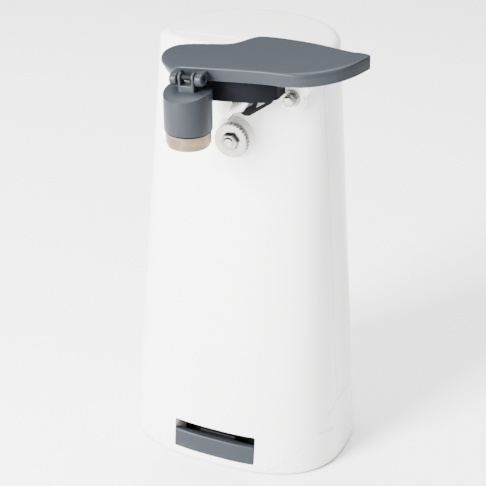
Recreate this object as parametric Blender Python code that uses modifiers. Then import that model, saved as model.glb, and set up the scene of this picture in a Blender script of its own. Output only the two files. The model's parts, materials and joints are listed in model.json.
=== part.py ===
"""Upright electric can opener, modelled as separate sub-parts.

The scene is in metres, +Z up, on the surface that the feet stand on, and the front, with the
lever, the blade and the drive wheel, faces -Y. Sizes in this file are millimetres, measured
from the middle of the housing's foot, and the helpers that make meshes turn them into metres.
At the end everything moves so that the origin is under the centre of the whole object's box.
"""

import math

import bmesh
import bpy
from mathutils import Matrix, Vector

MM = 0.001
GAP = 0.3  # clearance between neighbouring pieces
FRAME_SHIFT = (-5.756, 8.432, 0.0)  # from the housing's own middle to the middle of the whole box

# Housing: a tapered tower whose plan is a superellipse, with a front and a rear half.
HEIGHT = 248.0
LIFT = 1.0  # shell edge above the surface
WALL = 2.4
BASE_HALF_WIDTH, TOP_HALF_WIDTH = 66.2, 48.4
BASE_FRONT, TOP_FRONT = 49.7, 25.0  # front half-depths, from the widest line
BASE_REAR, TOP_REAR = 49.7, 44.6
TOP_CENTRE_Y = 4.1  # the widest line moves back as it rises
FRONT_POWER_BASE, FRONT_POWER_TOP = 2.6, 2.78
REAR_POWER_BASE, REAR_POWER_TOP = 2.57, 2.11
TOP_ROUNDING = 4.0
TOP_CROWN = 0.7
ROUNDING_STEPS = 3
SEAM_Y_BASE, SEAM_Y_TOP = -12.5, -8.5  # parting line between front housing and rear cover
SKIRT_HEIGHT = 40.0
SKIRT_TURN_Y = -11.0  # in front of this the skirt's upper edge sweeps down
SKIRT_FALL, SKIRT_CURVE = 0.5, 0.016
PLAN_SIDES = 48

# Lever: a flat paddle that rises to the right and towards the back.
LEVER_TILT = math.degrees(math.atan(0.088))
LEVER_PITCH = math.degrees(math.atan(0.09))
LEVER_FRONT_Y, LEVER_EDGE_Z = -52.0, 247.4  # top front edge at x = 0
PLATE_THICKNESS, SKIRT_DEPTH, SKIRT_WALL = 2.9, 7.0, 2.4
REAR_TRIM_Y = -26.0  # behind this the lever is plate only, to pass over the housing's top
PIVOT = (-16.0, -40.0, 234.0)
PIVOT_PIN_R, PIN_HEAD_R = 3.0, 4.8
CARRIER_BACK_Y = -26.5
CARRIER_TOP, CARRIER_BOTTOM = -2.9, -20.0  # from the lever's top front edge

# Magnet lid holder, hung from two ears at the lever's front.
MAGNET_XY = (-7.2, -57.0)
MAGNET_HINGE = (-7.2, -57.0, 243.0)
HOLDER_R, CUP_R = 12.4, 11.6
HOLDER_LOW, HOLDER_FRONT_TOP = 215.6, 233.8
CUP_LOW, CUP_HIGH = 207.4, 215.3
EAR_R, EAR_WIDTH, EAR_SPACING = 4.2, 4.0, 13.8

# Cutting and driving.
WHEEL_AXIS = (4.6, 200.5)  # x, z of the spindle
WHEEL_R, WHEEL_TEETH, WHEEL_TOOTH = 9.5, 30, 0.7
WHEEL_Y = (-31.6, -28.2)
BLADE_Y, GUIDE_Y = (-31.2, -29.4), (-29.1, -26.9)
STUD_XZ, STUD_Y = (35.0, 225.9), (-28.3, -22.3)
STUD_ACROSS_FLATS, STUD_SHANK_R = 5.7, 1.95

# Gear train, from the spindle down to the motor, all axes along Y on one vertical line.
TEETH_BIG_1, TEETH_SMALL_1, MODULE_1 = 40, 12, 1.25
TEETH_BIG_2, TEETH_SMALL_2, MODULE_2 = 36, 12, 1.0
TEETH_BIG_3, TEETH_SMALL_3, MODULE_3 = 36, 12, 0.8
AXLE_R = 2.0
SPINDLE_R = 3.0
FRONT_PLATE_Y, REAR_PLATE_Y = (-18.5, -16.5), (3.5, 5.5)
MOTOR_R, MOTOR_Y = 20.0, (6.0, 40.0)

# Bottle opener slot in the base.
SLOT_HALF_WIDTH, SLOT_LOW, SLOT_HIGH = 25.3, 6.0, 24.0
LIP_HIGH = 17.6
SLOT_DEPTH_Y = -30.0

BUTTON_XY = (30.0, -13.5)
BUTTON_TOP, BUTTON_R = 250.2, 2.2


# --- scene and helpers -----------------------------------------------------------------


def clear_scene():
    for obj in list(bpy.data.objects):
        bpy.data.objects.remove(obj)


def new_collection(name, helper=False):
    made = bpy.data.collections.new(name)
    bpy.context.scene.collection.children.link(made)
    made.hide_render = helper
    return made


clear_scene()
PARTS = new_collection("can_opener")
CUTTERS = new_collection("cutters", helper=True)


def finish(name, colour, roughness, metallic):
    material = bpy.data.materials.new(name)
    material.use_nodes = True
    shader = material.node_tree.nodes["Principled BSDF"]
    shader.inputs["Base Color"].default_value = (*colour, 1.0)
    shader.inputs["Roughness"].default_value = roughness
    shader.inputs["Metallic"].default_value = metallic
    material.diffuse_color = (*colour, 1.0)
    return material


WHITE = ((0.80, 0.80, 0.79), 0.25, 0.0)
LEVER_GREY = ((0.15, 0.165, 0.185), 0.38, 0.0)
DARK_GREY = ((0.07, 0.075, 0.09), 0.42, 0.0)
BLACK = ((0.015, 0.015, 0.015), 0.55, 0.0)
STEEL = ((0.72, 0.71, 0.70), 0.22, 1.0)
ZINC = ((0.55, 0.55, 0.53), 0.40, 1.0)
NICKEL = ((0.62, 0.55, 0.46), 0.16, 1.0)
BRONZE = ((0.42, 0.29, 0.14), 0.42, 1.0)
FERRITE = ((0.05, 0.05, 0.055), 0.60, 0.0)
NYLON = ((0.70, 0.68, 0.60), 0.45, 0.0)
RUBBER = ((0.03, 0.03, 0.03), 0.80, 0.0)


def add(name, mesh, helper=False):
    obj = bpy.data.objects.new(name, mesh)
    (CUTTERS if helper else PARTS).objects.link(obj)
    if helper:
        obj.hide_render = True
        obj.display_type = "WIRE"
    return obj


def part(obj, name, look, origin=None):
    """Turn a working object into a finished sub-part with its own material and origin."""
    for collection in list(obj.users_collection):
        collection.objects.unlink(obj)
    PARTS.objects.link(obj)
    obj.name = name
    obj.hide_render = False
    obj.display_type = "TEXTURED"
    obj.data.materials.clear()
    obj.data.materials.append(finish(name, *look))
    if origin:
        shift = Vector(origin) * MM - obj.location
        obj.data.transform(Matrix.Translation(-shift))
        obj.location = Vector(origin) * MM
    obj.data.set_sharp_from_angle(angle=math.radians(35))
    return obj


def from_bmesh(bm, name="shape"):
    bmesh.ops.recalc_face_normals(bm, faces=bm.faces)
    mesh = bpy.data.meshes.new(name)
    bm.to_mesh(mesh)
    bm.free()
    mesh.shade_smooth()
    return add(name, mesh, helper=True)


def block(low, high):
    size = [h - l for l, h in zip(low, high)]
    middle = [(h + l) / 2 for l, h in zip(low, high)]
    bm = bmesh.new()
    bmesh.ops.create_cube(bm, size=1.0, matrix=Matrix.LocRotScale(
        Vector(middle) * MM, None, Vector(size) * MM))
    return from_bmesh(bm)


def rod(start, end, radius, sides=24, radius_end=None, turn=0.0):
    """A cylinder or cone between two points."""
    start, end = Vector(start) * MM, Vector(end) * MM
    along = end - start
    place = Matrix.Translation((start + end) / 2) @ along.to_track_quat("Z", "Y").to_matrix().to_4x4()
    bm = bmesh.new()
    bmesh.ops.create_cone(
        bm, cap_ends=True, segments=sides, radius1=radius * MM,
        radius2=(radius if radius_end is None else radius_end) * MM,
        depth=along.length, matrix=place @ Matrix.Rotation(turn, 4, "Z"))
    return from_bmesh(bm)


def y_rod(x, z, y_low, y_high, radius, sides=24, turn=0.0):
    return rod((x, y_high, z), (x, y_low, z), radius, sides, turn=turn)


def z_rod(x, y, z_low, z_high, radius, sides=24):
    return rod((x, y, z_low), (x, y, z_high), radius, sides)


def outline(loops, low, high, place=None):
    """Flat loops, the first outside and the others holes, filled and given a thickness."""
    curve = bpy.data.curves.new("outline", "CURVE")
    curve.dimensions = "2D"
    curve.fill_mode = "BOTH"
    curve.extrude = (high - low) / 2 * MM
    for loop in loops:
        spline = curve.splines.new("POLY")
        spline.points.add(len(loop) - 1)
        for point, (x, y) in zip(spline.points, loop):
            point.co = (x * MM, y * MM, 0.0, 1.0)
        spline.use_cyclic_u = True
    flat = bpy.data.objects.new("outline", curve)
    CUTTERS.objects.link(flat)
    bpy.context.view_layer.update()
    mesh = bpy.data.meshes.new_from_object(flat.evaluated_get(bpy.context.evaluated_depsgraph_get()))
    bpy.data.objects.remove(flat)
    bm = bmesh.new()
    bm.from_mesh(mesh)
    bmesh.ops.remove_doubles(bm, verts=bm.verts, dist=1e-6)
    move = Matrix.Translation((0, 0, (high + low) / 2 * MM))
    bmesh.ops.transform(bm, matrix=(place or Matrix()) @ move, verts=bm.verts)
    return from_bmesh(bm)


def facing_front(x=0.0, y=0.0, z=0.0):
    """Places a flat outline upright: its x stays x, its y becomes z, and its height faces -Y."""
    return Matrix.Translation(Vector((x, y, z)) * MM) @ Matrix.Rotation(math.radians(90), 4, "X")


def facing_side():
    """Places a flat outline upright across X: its x becomes y and its y becomes z."""
    return Matrix(((0, 0, 1, 0), (1, 0, 0, 0), (0, 1, 0, 0), (0, 0, 0, 1)))


def turned(profile, place, steps=32):
    """A profile of (radius, height) pairs, from the top outside down, turned about local Z."""
    bm = bmesh.new()
    verts = [bm.verts.new((r * MM, 0.0, h * MM)) for r, h in profile]
    for a, b in zip(verts, verts[1:] + verts[:1]):
        bm.edges.new((a, b))
    mesh = bpy.data.meshes.new("turned")
    bm.to_mesh(mesh)
    bm.free()
    obj = add("turned", mesh, helper=True)
    screw = obj.modifiers.new("turn", "SCREW")
    screw.steps = screw.render_steps = steps
    screw.use_merge_vertices = True
    screw.merge_threshold = 1e-6
    obj.matrix_world = place
    return obj


def boolean(obj, other, operation):
    modifier = obj.modifiers.new(operation.lower(), "BOOLEAN")
    modifier.operation = operation
    modifier.solver = "EXACT"
    modifier.object = other
    return obj


def cut(obj, *others):
    for other in others:
        boolean(obj, other, "DIFFERENCE")
    return obj


def join(obj, *others):
    for other in others:
        boolean(obj, other, "UNION")
    return obj


def keep_inside(obj, other):
    return boolean(obj, other, "INTERSECT")


def bevel(obj, width, segments=2, angle=40):
    modifier = obj.modifiers.new("edges", "BEVEL")
    modifier.width = width * MM
    modifier.segments = segments
    modifier.limit_method = "ANGLE"
    modifier.angle_limit = math.radians(angle)
    return obj


def circle(radius, sides, centre=(0.0, 0.0)):
    return [(centre[0] + radius * math.cos(2 * math.pi * k / sides),
             centre[1] + radius * math.sin(2 * math.pi * k / sides)) for k in range(sides)]


def mix(a, b, t):
    return a + (b - a) * t


def smooth_loop(points, per=3):
    """A closed Catmull-Rom curve through the points."""
    made, count = [], len(points)
    for i in range(count):
        p0, p1, p2, p3 = (Vector(points[(i + k) % count]) for k in (-1, 0, 1, 2))
        for step in range(per):
            t = step / per
            made.append(tuple(0.5 * (2 * p1 + (p2 - p0) * t + (2 * p0 - 5 * p1 + 4 * p2 - p3) * t**2
                                     + (3 * p1 - p0 - 3 * p2 + p3) * t**3)))
    return made


def inset_loop(loop, distance):
    """The same anticlockwise loop, moved inwards, without the points that would cross at a tight corner."""
    made = []
    for i, point in enumerate(loop):
        along = (Vector(loop[(i + 1) % len(loop)]) - Vector(loop[i - 1])).normalized()
        moved = Vector((point[0] - along.y * distance, point[1] + along.x * distance))
        if min((moved - Vector(other)).length for other in loop) > 0.97 * distance:
            made.append(tuple(moved))
    return made


# --- housing ---------------------------------------------------------------------------


def plan_ring(z, inset=0.0):
    """The housing's plan at one height, as points round it."""
    t = z / HEIGHT
    half_width = mix(BASE_HALF_WIDTH, TOP_HALF_WIDTH, t) - inset
    front = mix(BASE_FRONT, TOP_FRONT, t) - inset
    rear = mix(BASE_REAR, TOP_REAR, t) - inset
    front_power = mix(FRONT_POWER_BASE, FRONT_POWER_TOP, t)
    rear_power = mix(REAR_POWER_BASE, REAR_POWER_TOP, t)
    centre = TOP_CENTRE_Y * t
    made = []
    for k in range(PLAN_SIDES):
        angle = 2 * math.pi * (k + 0.5) / PLAN_SIDES
        c, s = math.cos(angle), math.sin(angle)
        depth, power = (rear, rear_power) if s > 0 else (front, front_power)
        made.append((math.copysign(half_width * abs(c) ** (2 / power), c),
                     centre + math.copysign(depth * abs(s) ** (2 / power), s)))
    return made


def tower(inset, low, high, rounding, crown, levels=6, grow=0.0):
    """A closed solid with the housing's form, moved in by the inset and rounded at the top."""
    straight = high - rounding
    rings = [(mix(low, straight, k / (levels - 1)), inset - grow) for k in range(levels)]
    for k in range(1, ROUNDING_STEPS + 1):
        angle = math.radians(90) * k / ROUNDING_STEPS
        rings.append((straight + rounding * math.sin(angle),
                      inset - grow + rounding * (1 - math.cos(angle))))
    bm = bmesh.new()
    loops = []
    for z, edge in rings:
        loops.append([bm.verts.new((x * MM, y * MM, z * MM)) for x, y in plan_ring(z, edge)])
    for below, above in zip(loops, loops[1:]):
        for k in range(PLAN_SIDES):
            after = (k + 1) % PLAN_SIDES
            bm.faces.new((below[k], below[after], above[after], above[k]))
    bm.faces.new(reversed(loops[0]))
    inner_z = high + crown * 0.7
    ring = [bm.verts.new((v.co.x * 0.6, v.co.y * 0.6 + TOP_CENTRE_Y * 0.4 * MM, inner_z * MM))
            for v in loops[-1]]
    for k in range(PLAN_SIDES):
        after = (k + 1) % PLAN_SIDES
        bm.faces.new((loops[-1][k], loops[-1][after], ring[after], ring[k]))
    peak = bm.verts.new((0.0, TOP_CENTRE_Y * MM, (high + crown) * MM))
    for k in range(PLAN_SIDES):
        bm.faces.new((ring[k], ring[(k + 1) % PLAN_SIDES], peak))
    return from_bmesh(bm, "tower")


def seam_y(z):
    return mix(SEAM_Y_BASE, SEAM_Y_TOP, z / HEIGHT)


def skirt_edge(gap):
    """The skirt's upper edge in side view, from its turn to the front."""
    made = []
    for k in range(13):
        forward = k * 3.4
        made.append((SKIRT_TURN_Y - forward,
                     SKIRT_HEIGHT - SKIRT_FALL * forward - SKIRT_CURVE * forward**2 + gap))
    return made


def side_region(points):
    return outline([points], -90.0, 90.0, facing_side())


def housing_shell():
    shell = tower(0.0, LIFT, HEIGHT - TOP_CROWN, TOP_ROUNDING, TOP_CROWN)
    return cut(shell, tower(WALL, -10.0, HEIGHT - TOP_CROWN - WALL, 2.0, TOP_CROWN, levels=4))


def front_region(gap):
    edge = skirt_edge(gap)
    corner_z = SKIRT_HEIGHT + gap
    points = [(-90.0, -20.0), (edge[-1][0], -20.0)] + edge[::-1]
    points += [(seam_y(corner_z) - gap, corner_z), (seam_y(300.0) - gap, 300.0), (-90.0, 300.0)]
    return side_region(points)


def rear_region(gap):
    low = SKIRT_HEIGHT + gap
    return side_region([(seam_y(low) + gap, low), (90.0, low), (90.0, 300.0), (seam_y(300.0) + gap, 300.0)])


def skirt_region(gap):
    edge = skirt_edge(-gap)
    return side_region([(edge[-1][0], -20.0), (90.0, -20.0), (90.0, SKIRT_HEIGHT - gap)] + edge)


GEARBOX_POSTS = ((-13.0, 213.0), (22.0, 213.0), (-13.0, 110.0), (22.0, 110.0))
CASE_POSTS = ((-39.0, 219.0), (39.0, 219.0), (-43.0, 70.0), (43.0, 70.0))
CASE_SCREW_Y = 24.0
POST_R, BORE_R = 3.6, 1.8
BOSS_END_Y = -17.0  # the front bosses run back to here, through the wall
# (x, z, front face y, radius) of the bosses for the lever's pin and for the guide stud
BOSSES = (
    (PIVOT[0], PIVOT[2], -25.2, 6.2),
    (STUD_XZ[0] - 0.3, STUD_XZ[1] - 0.5, STUD_Y[1] + GAP, 6.6),
    (38.0, 233.2, STUD_Y[1] + GAP, 6.0),
)


def make_front_housing():
    housing = housing_shell()
    keep_inside(housing, front_region(GAP / 2))
    inner = tower(WALL / 2, -5.0, HEIGHT - WALL / 2, 2.0, 0.0, levels=3)
    posts = [(x, z, FRONT_PLATE_Y[0] - GAP) for x, z in GEARBOX_POSTS]
    posts += [(x, z, CASE_SCREW_Y - 8.0) for x, z in CASE_POSTS]
    for x, z, end in posts:
        join(housing, keep_inside(y_rod(x, z, -60.0, end, POST_R, 10), inner))
        cut(housing, y_rod(x, z, end - 9.0, end + 5.0, BORE_R, 8))
    x, z = WHEEL_AXIS
    join(housing, y_rod(x, z, -27.7, -22.0, 10.5, 32))
    for boss_x, boss_z, front, radius in BOSSES:
        join(housing, y_rod(boss_x, boss_z, front, BOSS_END_Y, radius, 20))
    cut(housing, y_rod(x, z, -40.0, -10.0, 5.8, 24))
    cut(housing, y_rod(PIVOT[0], PIVOT[2], -40.0, -10.0, PIVOT_PIN_R + GAP, 16))
    cut(housing, y_rod(*STUD_XZ, -40.0, -8.0, STUD_SHANK_R + GAP, 12))
    cut(housing, block((-SLOT_HALF_WIDTH, -70.0, SLOT_LOW), (SLOT_HALF_WIDTH, -35.0, SLOT_HIGH)))
    cut(housing, z_rod(*BUTTON_XY, 240.0, 260.0, BUTTON_R + GAP + 0.1, 16))
    return part(housing, "front_housing", WHITE)


VENT_ROWS, VENT_PITCH, VENT_LOW_Z = 6, 7.0, 98.0
VENT_HALF_WIDTH, VENT_HEIGHT = 17.0, 2.6


def make_rear_cover():
    cover = housing_shell()
    keep_inside(cover, rear_region(GAP / 2))
    for row in range(VENT_ROWS):
        low = VENT_LOW_Z + row * VENT_PITCH
        cut(cover, block((-VENT_HALF_WIDTH, 35.0, low), (VENT_HALF_WIDTH, 60.0, low + VENT_HEIGHT)))
    inner = tower(WALL / 2, -5.0, HEIGHT - WALL / 2, 2.0, 0.0, levels=3)
    for x, z in CASE_POSTS:
        tube = y_rod(x, z, CASE_SCREW_Y - 6.0, 60.0, 5.6, 14)
        join(cover, keep_inside(tube, inner))
        cut(cover, y_rod(x, z, CASE_SCREW_Y, 60.0, 3.8, 14))
        cut(cover, y_rod(x, z, 0.0, 60.0, BORE_R, 8))
    return part(cover, "rear_cover", WHITE)


CORD_INLET_Z = 16.0


def make_base_skirt():
    skirt = housing_shell()
    keep_inside(skirt, skirt_region(GAP / 2))
    cut(skirt, y_rod(0.0, CORD_INLET_Z, 40.0, 60.0, 5.6, 24))
    return part(skirt, "base_skirt", WHITE)


FEET = ((-42.0, -26.0), (42.0, -26.0), (-42.0, 26.0), (42.0, 26.0))
FOOT_R = 7.0
BASE_SCREWS = ((-52.0, -12.0), (52.0, -12.0), (-28.0, 34.0), (28.0, 34.0))


def make_base_plate():
    plate = outline([plan_ring(4.0, WALL + GAP)], LIFT + GAP, 4.0)
    for x, y in BASE_SCREWS:
        cut(plate, z_rod(x, y, 0.0, 8.0, 1.9, 8))
        cut(plate, z_rod(x, y, 0.0, 2.8, 3.6, 12))
    return part(plate, "base_plate", WHITE)


def make_feet():
    for number, (x, y) in enumerate(FEET, 1):
        foot = turned([(FOOT_R, LIFT), (FOOT_R - 0.4, 0.0), (0.0, 0.0), (0.0, LIFT)],
                      Matrix.Translation(Vector((x, y, 0.0)) * MM), 20)
        part(foot, f"rubber_foot_{number}", RUBBER)


def screw(x, y_head, z, length, head_r, shank_r):
    """A slotted pan-head screw along Y whose head faces the rear."""
    head = rod((x, y_head, z), (x, y_head + 1.9, z), head_r, 14, head_r * 0.82)
    shank = rod((x, y_head + 0.3, z), (x, y_head - length, z), shank_r, 8)
    slot = block((x - head_r * 1.2, y_head + 1.2, z - 0.4), (x + head_r * 1.2, y_head + 3.0, z + 0.4))
    return cut(join(head, shank), slot)


def make_case_screws():
    for number, (x, z) in enumerate(CASE_POSTS, 1):
        part(screw(x, CASE_SCREW_Y + GAP, z, 16.0, 3.3, 1.45), f"case_screw_{number}", ZINC)


def make_base_screws():
    for number, (x, y) in enumerate(BASE_SCREWS, 1):
        head = rod((x, y, 2.5), (x, y, 1.3), 3.2, 12, 2.7)
        shank = z_rod(x, y, 2.3, 12.0, 1.5, 8)
        part(join(head, shank), f"base_screw_{number}", ZINC)


def make_cord_bush():
    profile = [(5.2, 6.5), (5.2, 2.7), (7.2, 2.7), (7.2, 0.5), (6.6, 0.0), (3.4, 0.0), (3.4, 6.5)]
    back = mix(BASE_REAR, TOP_REAR, CORD_INLET_Z / HEIGHT) + TOP_CENTRE_Y * CORD_INLET_Z / HEIGHT
    bush = turned(profile, facing_front(0.0, back + 2.9, CORD_INLET_Z), 18)
    return part(bush, "cord_inlet_bush", RUBBER)


# --- lever -----------------------------------------------------------------------------

# Plan of the lever's top, seen from above, x from the frame's centre and y from the front
# edge: rounded end on the left, a step at the back, the wide paddle and its tip on the right.
LEVER_OUTLINE = (
    (-17.0, 0.2), (-2.0, 0.0), (14.0, 0.0), (30.0, -0.3), (43.0, -1.4), (52.0, -0.8), (60.5, 2.8),
    (67.5, 8.0), (73.0, 15.2), (76.6, 23.0), (77.4, 25.6), (75.8, 27.4), (69.0, 29.6), (59.0, 33.0),
    (46.7, 37.4), (34.6, 40.5), (22.7, 42.7), (15.0, 43.3), (10.6, 42.4), (6.8, 38.8), (3.6, 34.6),
    (-1.0, 31.8), (-9.5, 30.7), (-17.5, 29.9), (-25.0, 28.3), (-30.2, 24.8), (-32.2, 18.8), (-30.4, 11.8),
    (-25.0, 5.0),
)


def lever_frame():
    """From the lever's own level frame to its rest pose, risen to the right by its tilt."""
    tilt = Matrix.Rotation(math.radians(-LEVER_TILT), 4, "Y")
    return Matrix.Translation(Vector((0.0, LEVER_FRONT_Y, LEVER_EDGE_Z)) * MM) @ tilt


def plate_frame():
    return lever_frame() @ Matrix.Rotation(math.radians(LEVER_PITCH), 4, "X")


def placed(obj, matrix):
    obj.data.transform(matrix)
    return obj


def hinge_axis():
    angle = math.radians(LEVER_TILT)
    return Vector((math.cos(angle), 0.0, math.sin(angle)))


def on_hinge(along):
    return Vector(MAGNET_HINGE) + hinge_axis() * along


def ear(side):
    centre = side * EAR_SPACING / 2
    disc = rod(on_hinge(centre - EAR_WIDTH / 2), on_hinge(centre + EAR_WIDTH / 2), EAR_R, 24)
    middle = on_hinge(centre)
    arm = block((middle.x - EAR_WIDTH / 2, middle.y, middle.z - 1.5),
                (middle.x + EAR_WIDTH / 2, LEVER_FRONT_Y + 3.5, middle.z + EAR_R * 0.92))
    return join(disc, arm)


def make_lever_plate():
    loop = smooth_loop(LEVER_OUTLINE)
    plate = outline([loop], -SKIRT_DEPTH, 0.0, plate_frame())
    bevel(plate, 1.1, 1, 60)
    inside = inset_loop(smooth_loop(LEVER_OUTLINE, 2), SKIRT_WALL)
    hollow = outline([inside], -SKIRT_DEPTH - 5.0, -PLATE_THICKNESS, plate_frame())
    trim = placed(block((-60.0, REAR_TRIM_Y - LEVER_FRONT_Y, -20.0), (100.0, 70.0, -PLATE_THICKNESS)),
                  plate_frame())
    cut(plate, hollow, trim)
    join(plate, ear(-1), ear(1))
    notch = on_hinge(0.0)
    half = (EAR_SPACING - EAR_WIDTH) / 2
    cut(plate, block((notch.x - half, -70.0, notch.z - 8.0),
                     (notch.x + half, LEVER_FRONT_Y + 6.0, notch.z - 0.2)))
    cut(plate, rod(on_hinge(-20.0), on_hinge(20.0), 1.5 + GAP, 16))
    return part(plate, "lever_plate", LEVER_GREY, PIVOT)


CARRIER_OUTLINE = (
    (-16.0, 12.0), (-10.0, 7.5), (20.5, 7.5), (30.0, 13.2), (31.5, 15.5), (31.5, 25.5), (-16.0, 25.5),
)


BLADE_SCREW, GUIDE_SCREW = (11.0, 229.5), (22.6, 230.8)  # x, z
SMALL_SCREW_R = 1.4


def make_blade_carrier():
    """The dark block under the plate, which turns on the pivot pin and carries the blade."""
    carrier = outline([CARRIER_OUTLINE], CARRIER_BOTTOM, CARRIER_TOP, lever_frame())
    bevel(carrier, 0.7, 1, 40)
    x, _, z = PIVOT
    join(carrier, y_rod(x, z, -40.0, CARRIER_BACK_Y, 7.2, 28))
    cut(carrier, y_rod(x, z, -60.0, -10.0, PIVOT_PIN_R + GAP, 16))
    cut(carrier, y_rod(x, z, -60.0, PIVOT[1] - GAP, PIN_HEAD_R + 0.5, 20))
    roof = CARRIER_BOTTOM + 6.5
    cut(carrier, placed(block((2.0, 20.5, -30.0), (17.8, 40.0, roof)), lever_frame()))
    cut(carrier, placed(block((17.7, 22.6, -30.0), (27.4, 40.0, roof)), lever_frame()))
    for screw_x, screw_z in (BLADE_SCREW, GUIDE_SCREW):
        cut(carrier, y_rod(screw_x, screw_z, -38.0, -20.0, SMALL_SCREW_R + GAP, 10))
    return part(carrier, "blade_carrier", DARK_GREY, PIVOT)


BLADE_OUTLINE = (
    (1.0, 214.2), (2.9, 211.4), (6.4, 215.8), (11.3, 217.6), (14.2, 222.4), (17.0, 227.6), (17.0, 232.6),
    (5.0, 232.6), (4.4, 221.6),
)


def make_cutting_blade():
    blade = outline([BLADE_OUTLINE], -BLADE_Y[1], -BLADE_Y[0], facing_front())
    edge = rod((0.2, BLADE_Y[0] - 0.6, 212.6), (4.2, BLADE_Y[0] - 0.6, 209.6), 1.0, 8)
    cut(blade, edge, y_rod(*BLADE_SCREW, -40.0, -20.0, SMALL_SCREW_R + GAP, 10))
    return part(blade, "cutting_blade", STEEL, PIVOT)


def make_rim_guide():
    """The dark fork behind the blade that rides on the can's rim."""
    outer = ((8.6, 216.4), (11.6, 215.0), (14.2, 215.2), (26.6, 224.2), (27.0, 234.8), (18.2, 234.8),
             (18.0, 223.6), (15.6, 221.6))
    hole = ((18.6, 223.4), (23.6, 224.0), (17.4, 219.8))
    bore = circle(SMALL_SCREW_R + GAP, 10, GUIDE_SCREW)[::-1]
    guide = outline([outer, hole, bore], -GUIDE_Y[1], -GUIDE_Y[0], facing_front())
    return part(guide, "rim_guide", BLACK, PIVOT)


def make_carrier_screws():
    places = ((BLADE_SCREW, BLADE_Y[1], 2.9, "blade_screw"), (GUIDE_SCREW, GUIDE_Y[1], 2.3, "guide_screw"))
    for (x, z), seat, head_r, name in places:
        head = y_rod(x, z, seat + GAP, seat + GAP + 1.4, head_r, 12)
        shank = y_rod(x, z, -37.0, seat + GAP + 0.5, SMALL_SCREW_R, 8)
        part(join(head, shank), name, ZINC, PIVOT)


def make_lever_pivot_pin():
    x, _, z = PIVOT
    pin = y_rod(x, z, PIVOT[1] - 2.0, -16.0, PIVOT_PIN_R, 20)
    head = y_rod(x, z, PIVOT[1] - 2.8, PIVOT[1] - 2 * GAP, PIN_HEAD_R, 20)
    return part(join(pin, head), "lever_pivot_pin", STEEL, PIVOT)


# --- magnet lid holder -----------------------------------------------------------------


def make_magnet_hinge_pin():
    pin = rod(on_hinge(-EAR_SPACING / 2 - 2.3), on_hinge(EAR_SPACING / 2 + 2.3), 1.5, 16)
    return part(pin, "magnet_hinge_pin", STEEL, MAGNET_HINGE)


def make_magnet_holder():
    """A cup with a sloping front shoulder and a tongue that turns on the hinge pin."""
    x, y = MAGNET_XY
    body = z_rod(x, y, HOLDER_LOW, 239.2, HOLDER_R, 32)
    slope = block((-40.0, -40.0, 0.0), (40.0, 40.0, 30.0))
    shoulder = Matrix.Translation(Vector((x, y - HOLDER_R, HOLDER_FRONT_TOP)) * MM)
    shoulder = shoulder @ Matrix.Rotation(math.radians(-LEVER_TILT), 4, "Y")
    placed(slope, shoulder @ Matrix.Rotation(math.radians(14.0), 4, "X"))
    bevel(cut(body, slope), 0.5, 1, 25)
    neck_half = (EAR_SPACING - EAR_WIDTH) / 2 - GAP - 0.2
    knuckle = rod(on_hinge(-neck_half), on_hinge(neck_half), 3.4, 20)
    neck = block((x - neck_half + 0.3, y - 3.4, 232.0), (x + neck_half - 0.3, y + 3.4, 242.6))
    join(body, neck, knuckle)
    cut(body, rod(on_hinge(-20.0), on_hinge(20.0), 1.5 + GAP, 16))
    cut(body, z_rod(x, y, 200.0, HOLDER_LOW + 2.5, 6.3, 24))
    return part(body, "magnet_holder", LEVER_GREY, MAGNET_HINGE)


def make_magnet_cup():
    x, y = MAGNET_XY
    depth = CUP_HIGH - CUP_LOW
    profile = [(5.9, depth + 2.2), (5.9, depth), (CUP_R, depth), (CUP_R, 1.7), (CUP_R - 0.7, 1.4),
               (CUP_R - 0.7, 0.0), (8.6, 0.0), (8.6, 5.2), (0.0, 5.2), (0.0, depth + 2.2)]
    cup = turned(profile, Matrix.Translation(Vector((x, y, CUP_LOW)) * MM), 28)
    return part(cup, "magnet_cup", NICKEL, MAGNET_HINGE)


def make_magnet_disc():
    x, y = MAGNET_XY
    disc = z_rod(x, y, CUP_LOW + 0.3, CUP_LOW + 4.9, 8.2, 28)
    return part(disc, "magnet_disc", FERRITE, MAGNET_HINGE)


# --- drive wheel, spindle and front fittings -------------------------------------------


def wheel_outline():
    made = []
    for k in range(WHEEL_TEETH):
        start = 2 * math.pi * k / WHEEL_TEETH
        for share, radius in ((0.0, WHEEL_R - WHEEL_TOOTH), (0.42, WHEEL_R), (0.58, WHEEL_R)):
            angle = start + share * 2 * math.pi / WHEEL_TEETH
            made.append((radius * math.cos(angle), radius * math.sin(angle)))
    return made


def make_drive_wheel():
    x, z = WHEEL_AXIS
    wheel = outline([wheel_outline(), circle(SPINDLE_R + GAP, 20)[::-1]], -WHEEL_Y[1], -WHEEL_Y[0],
                    facing_front(x, 0.0, z))
    return part(wheel, "drive_wheel", STEEL, (x, WHEEL_Y[0], z))


def make_wheel_nut():
    x, z = WHEEL_AXIS
    nut = y_rod(x, z, WHEEL_Y[0] - 2.4, WHEEL_Y[0] - GAP, 5.0, 6)
    cut(nut, y_rod(x, z, -40.0, -20.0, SPINDLE_R + GAP, 20))
    return part(nut, "wheel_nut", ZINC, (x, WHEEL_Y[0], z))


def make_drive_spindle():
    x, z = WHEEL_AXIS
    spindle = bevel(y_rod(x, z, WHEEL_Y[0] - 3.0, REAR_PLATE_Y[0] - GAP, SPINDLE_R, 24), 0.5, 1, 60)
    return part(spindle, "drive_spindle", STEEL, (x, WHEEL_Y[0], z))


def make_spindle_bush():
    x, z = WHEEL_AXIS
    length = FRONT_PLATE_Y[0] + 27.9 - GAP
    profile = [(5.4, 0.0), (5.4, -length), (SPINDLE_R + GAP, -length), (SPINDLE_R + GAP, 0.0)]
    bush = turned(profile, facing_front(x, -27.9, z), 28)
    return part(bush, "spindle_bush", BRONZE)


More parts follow.
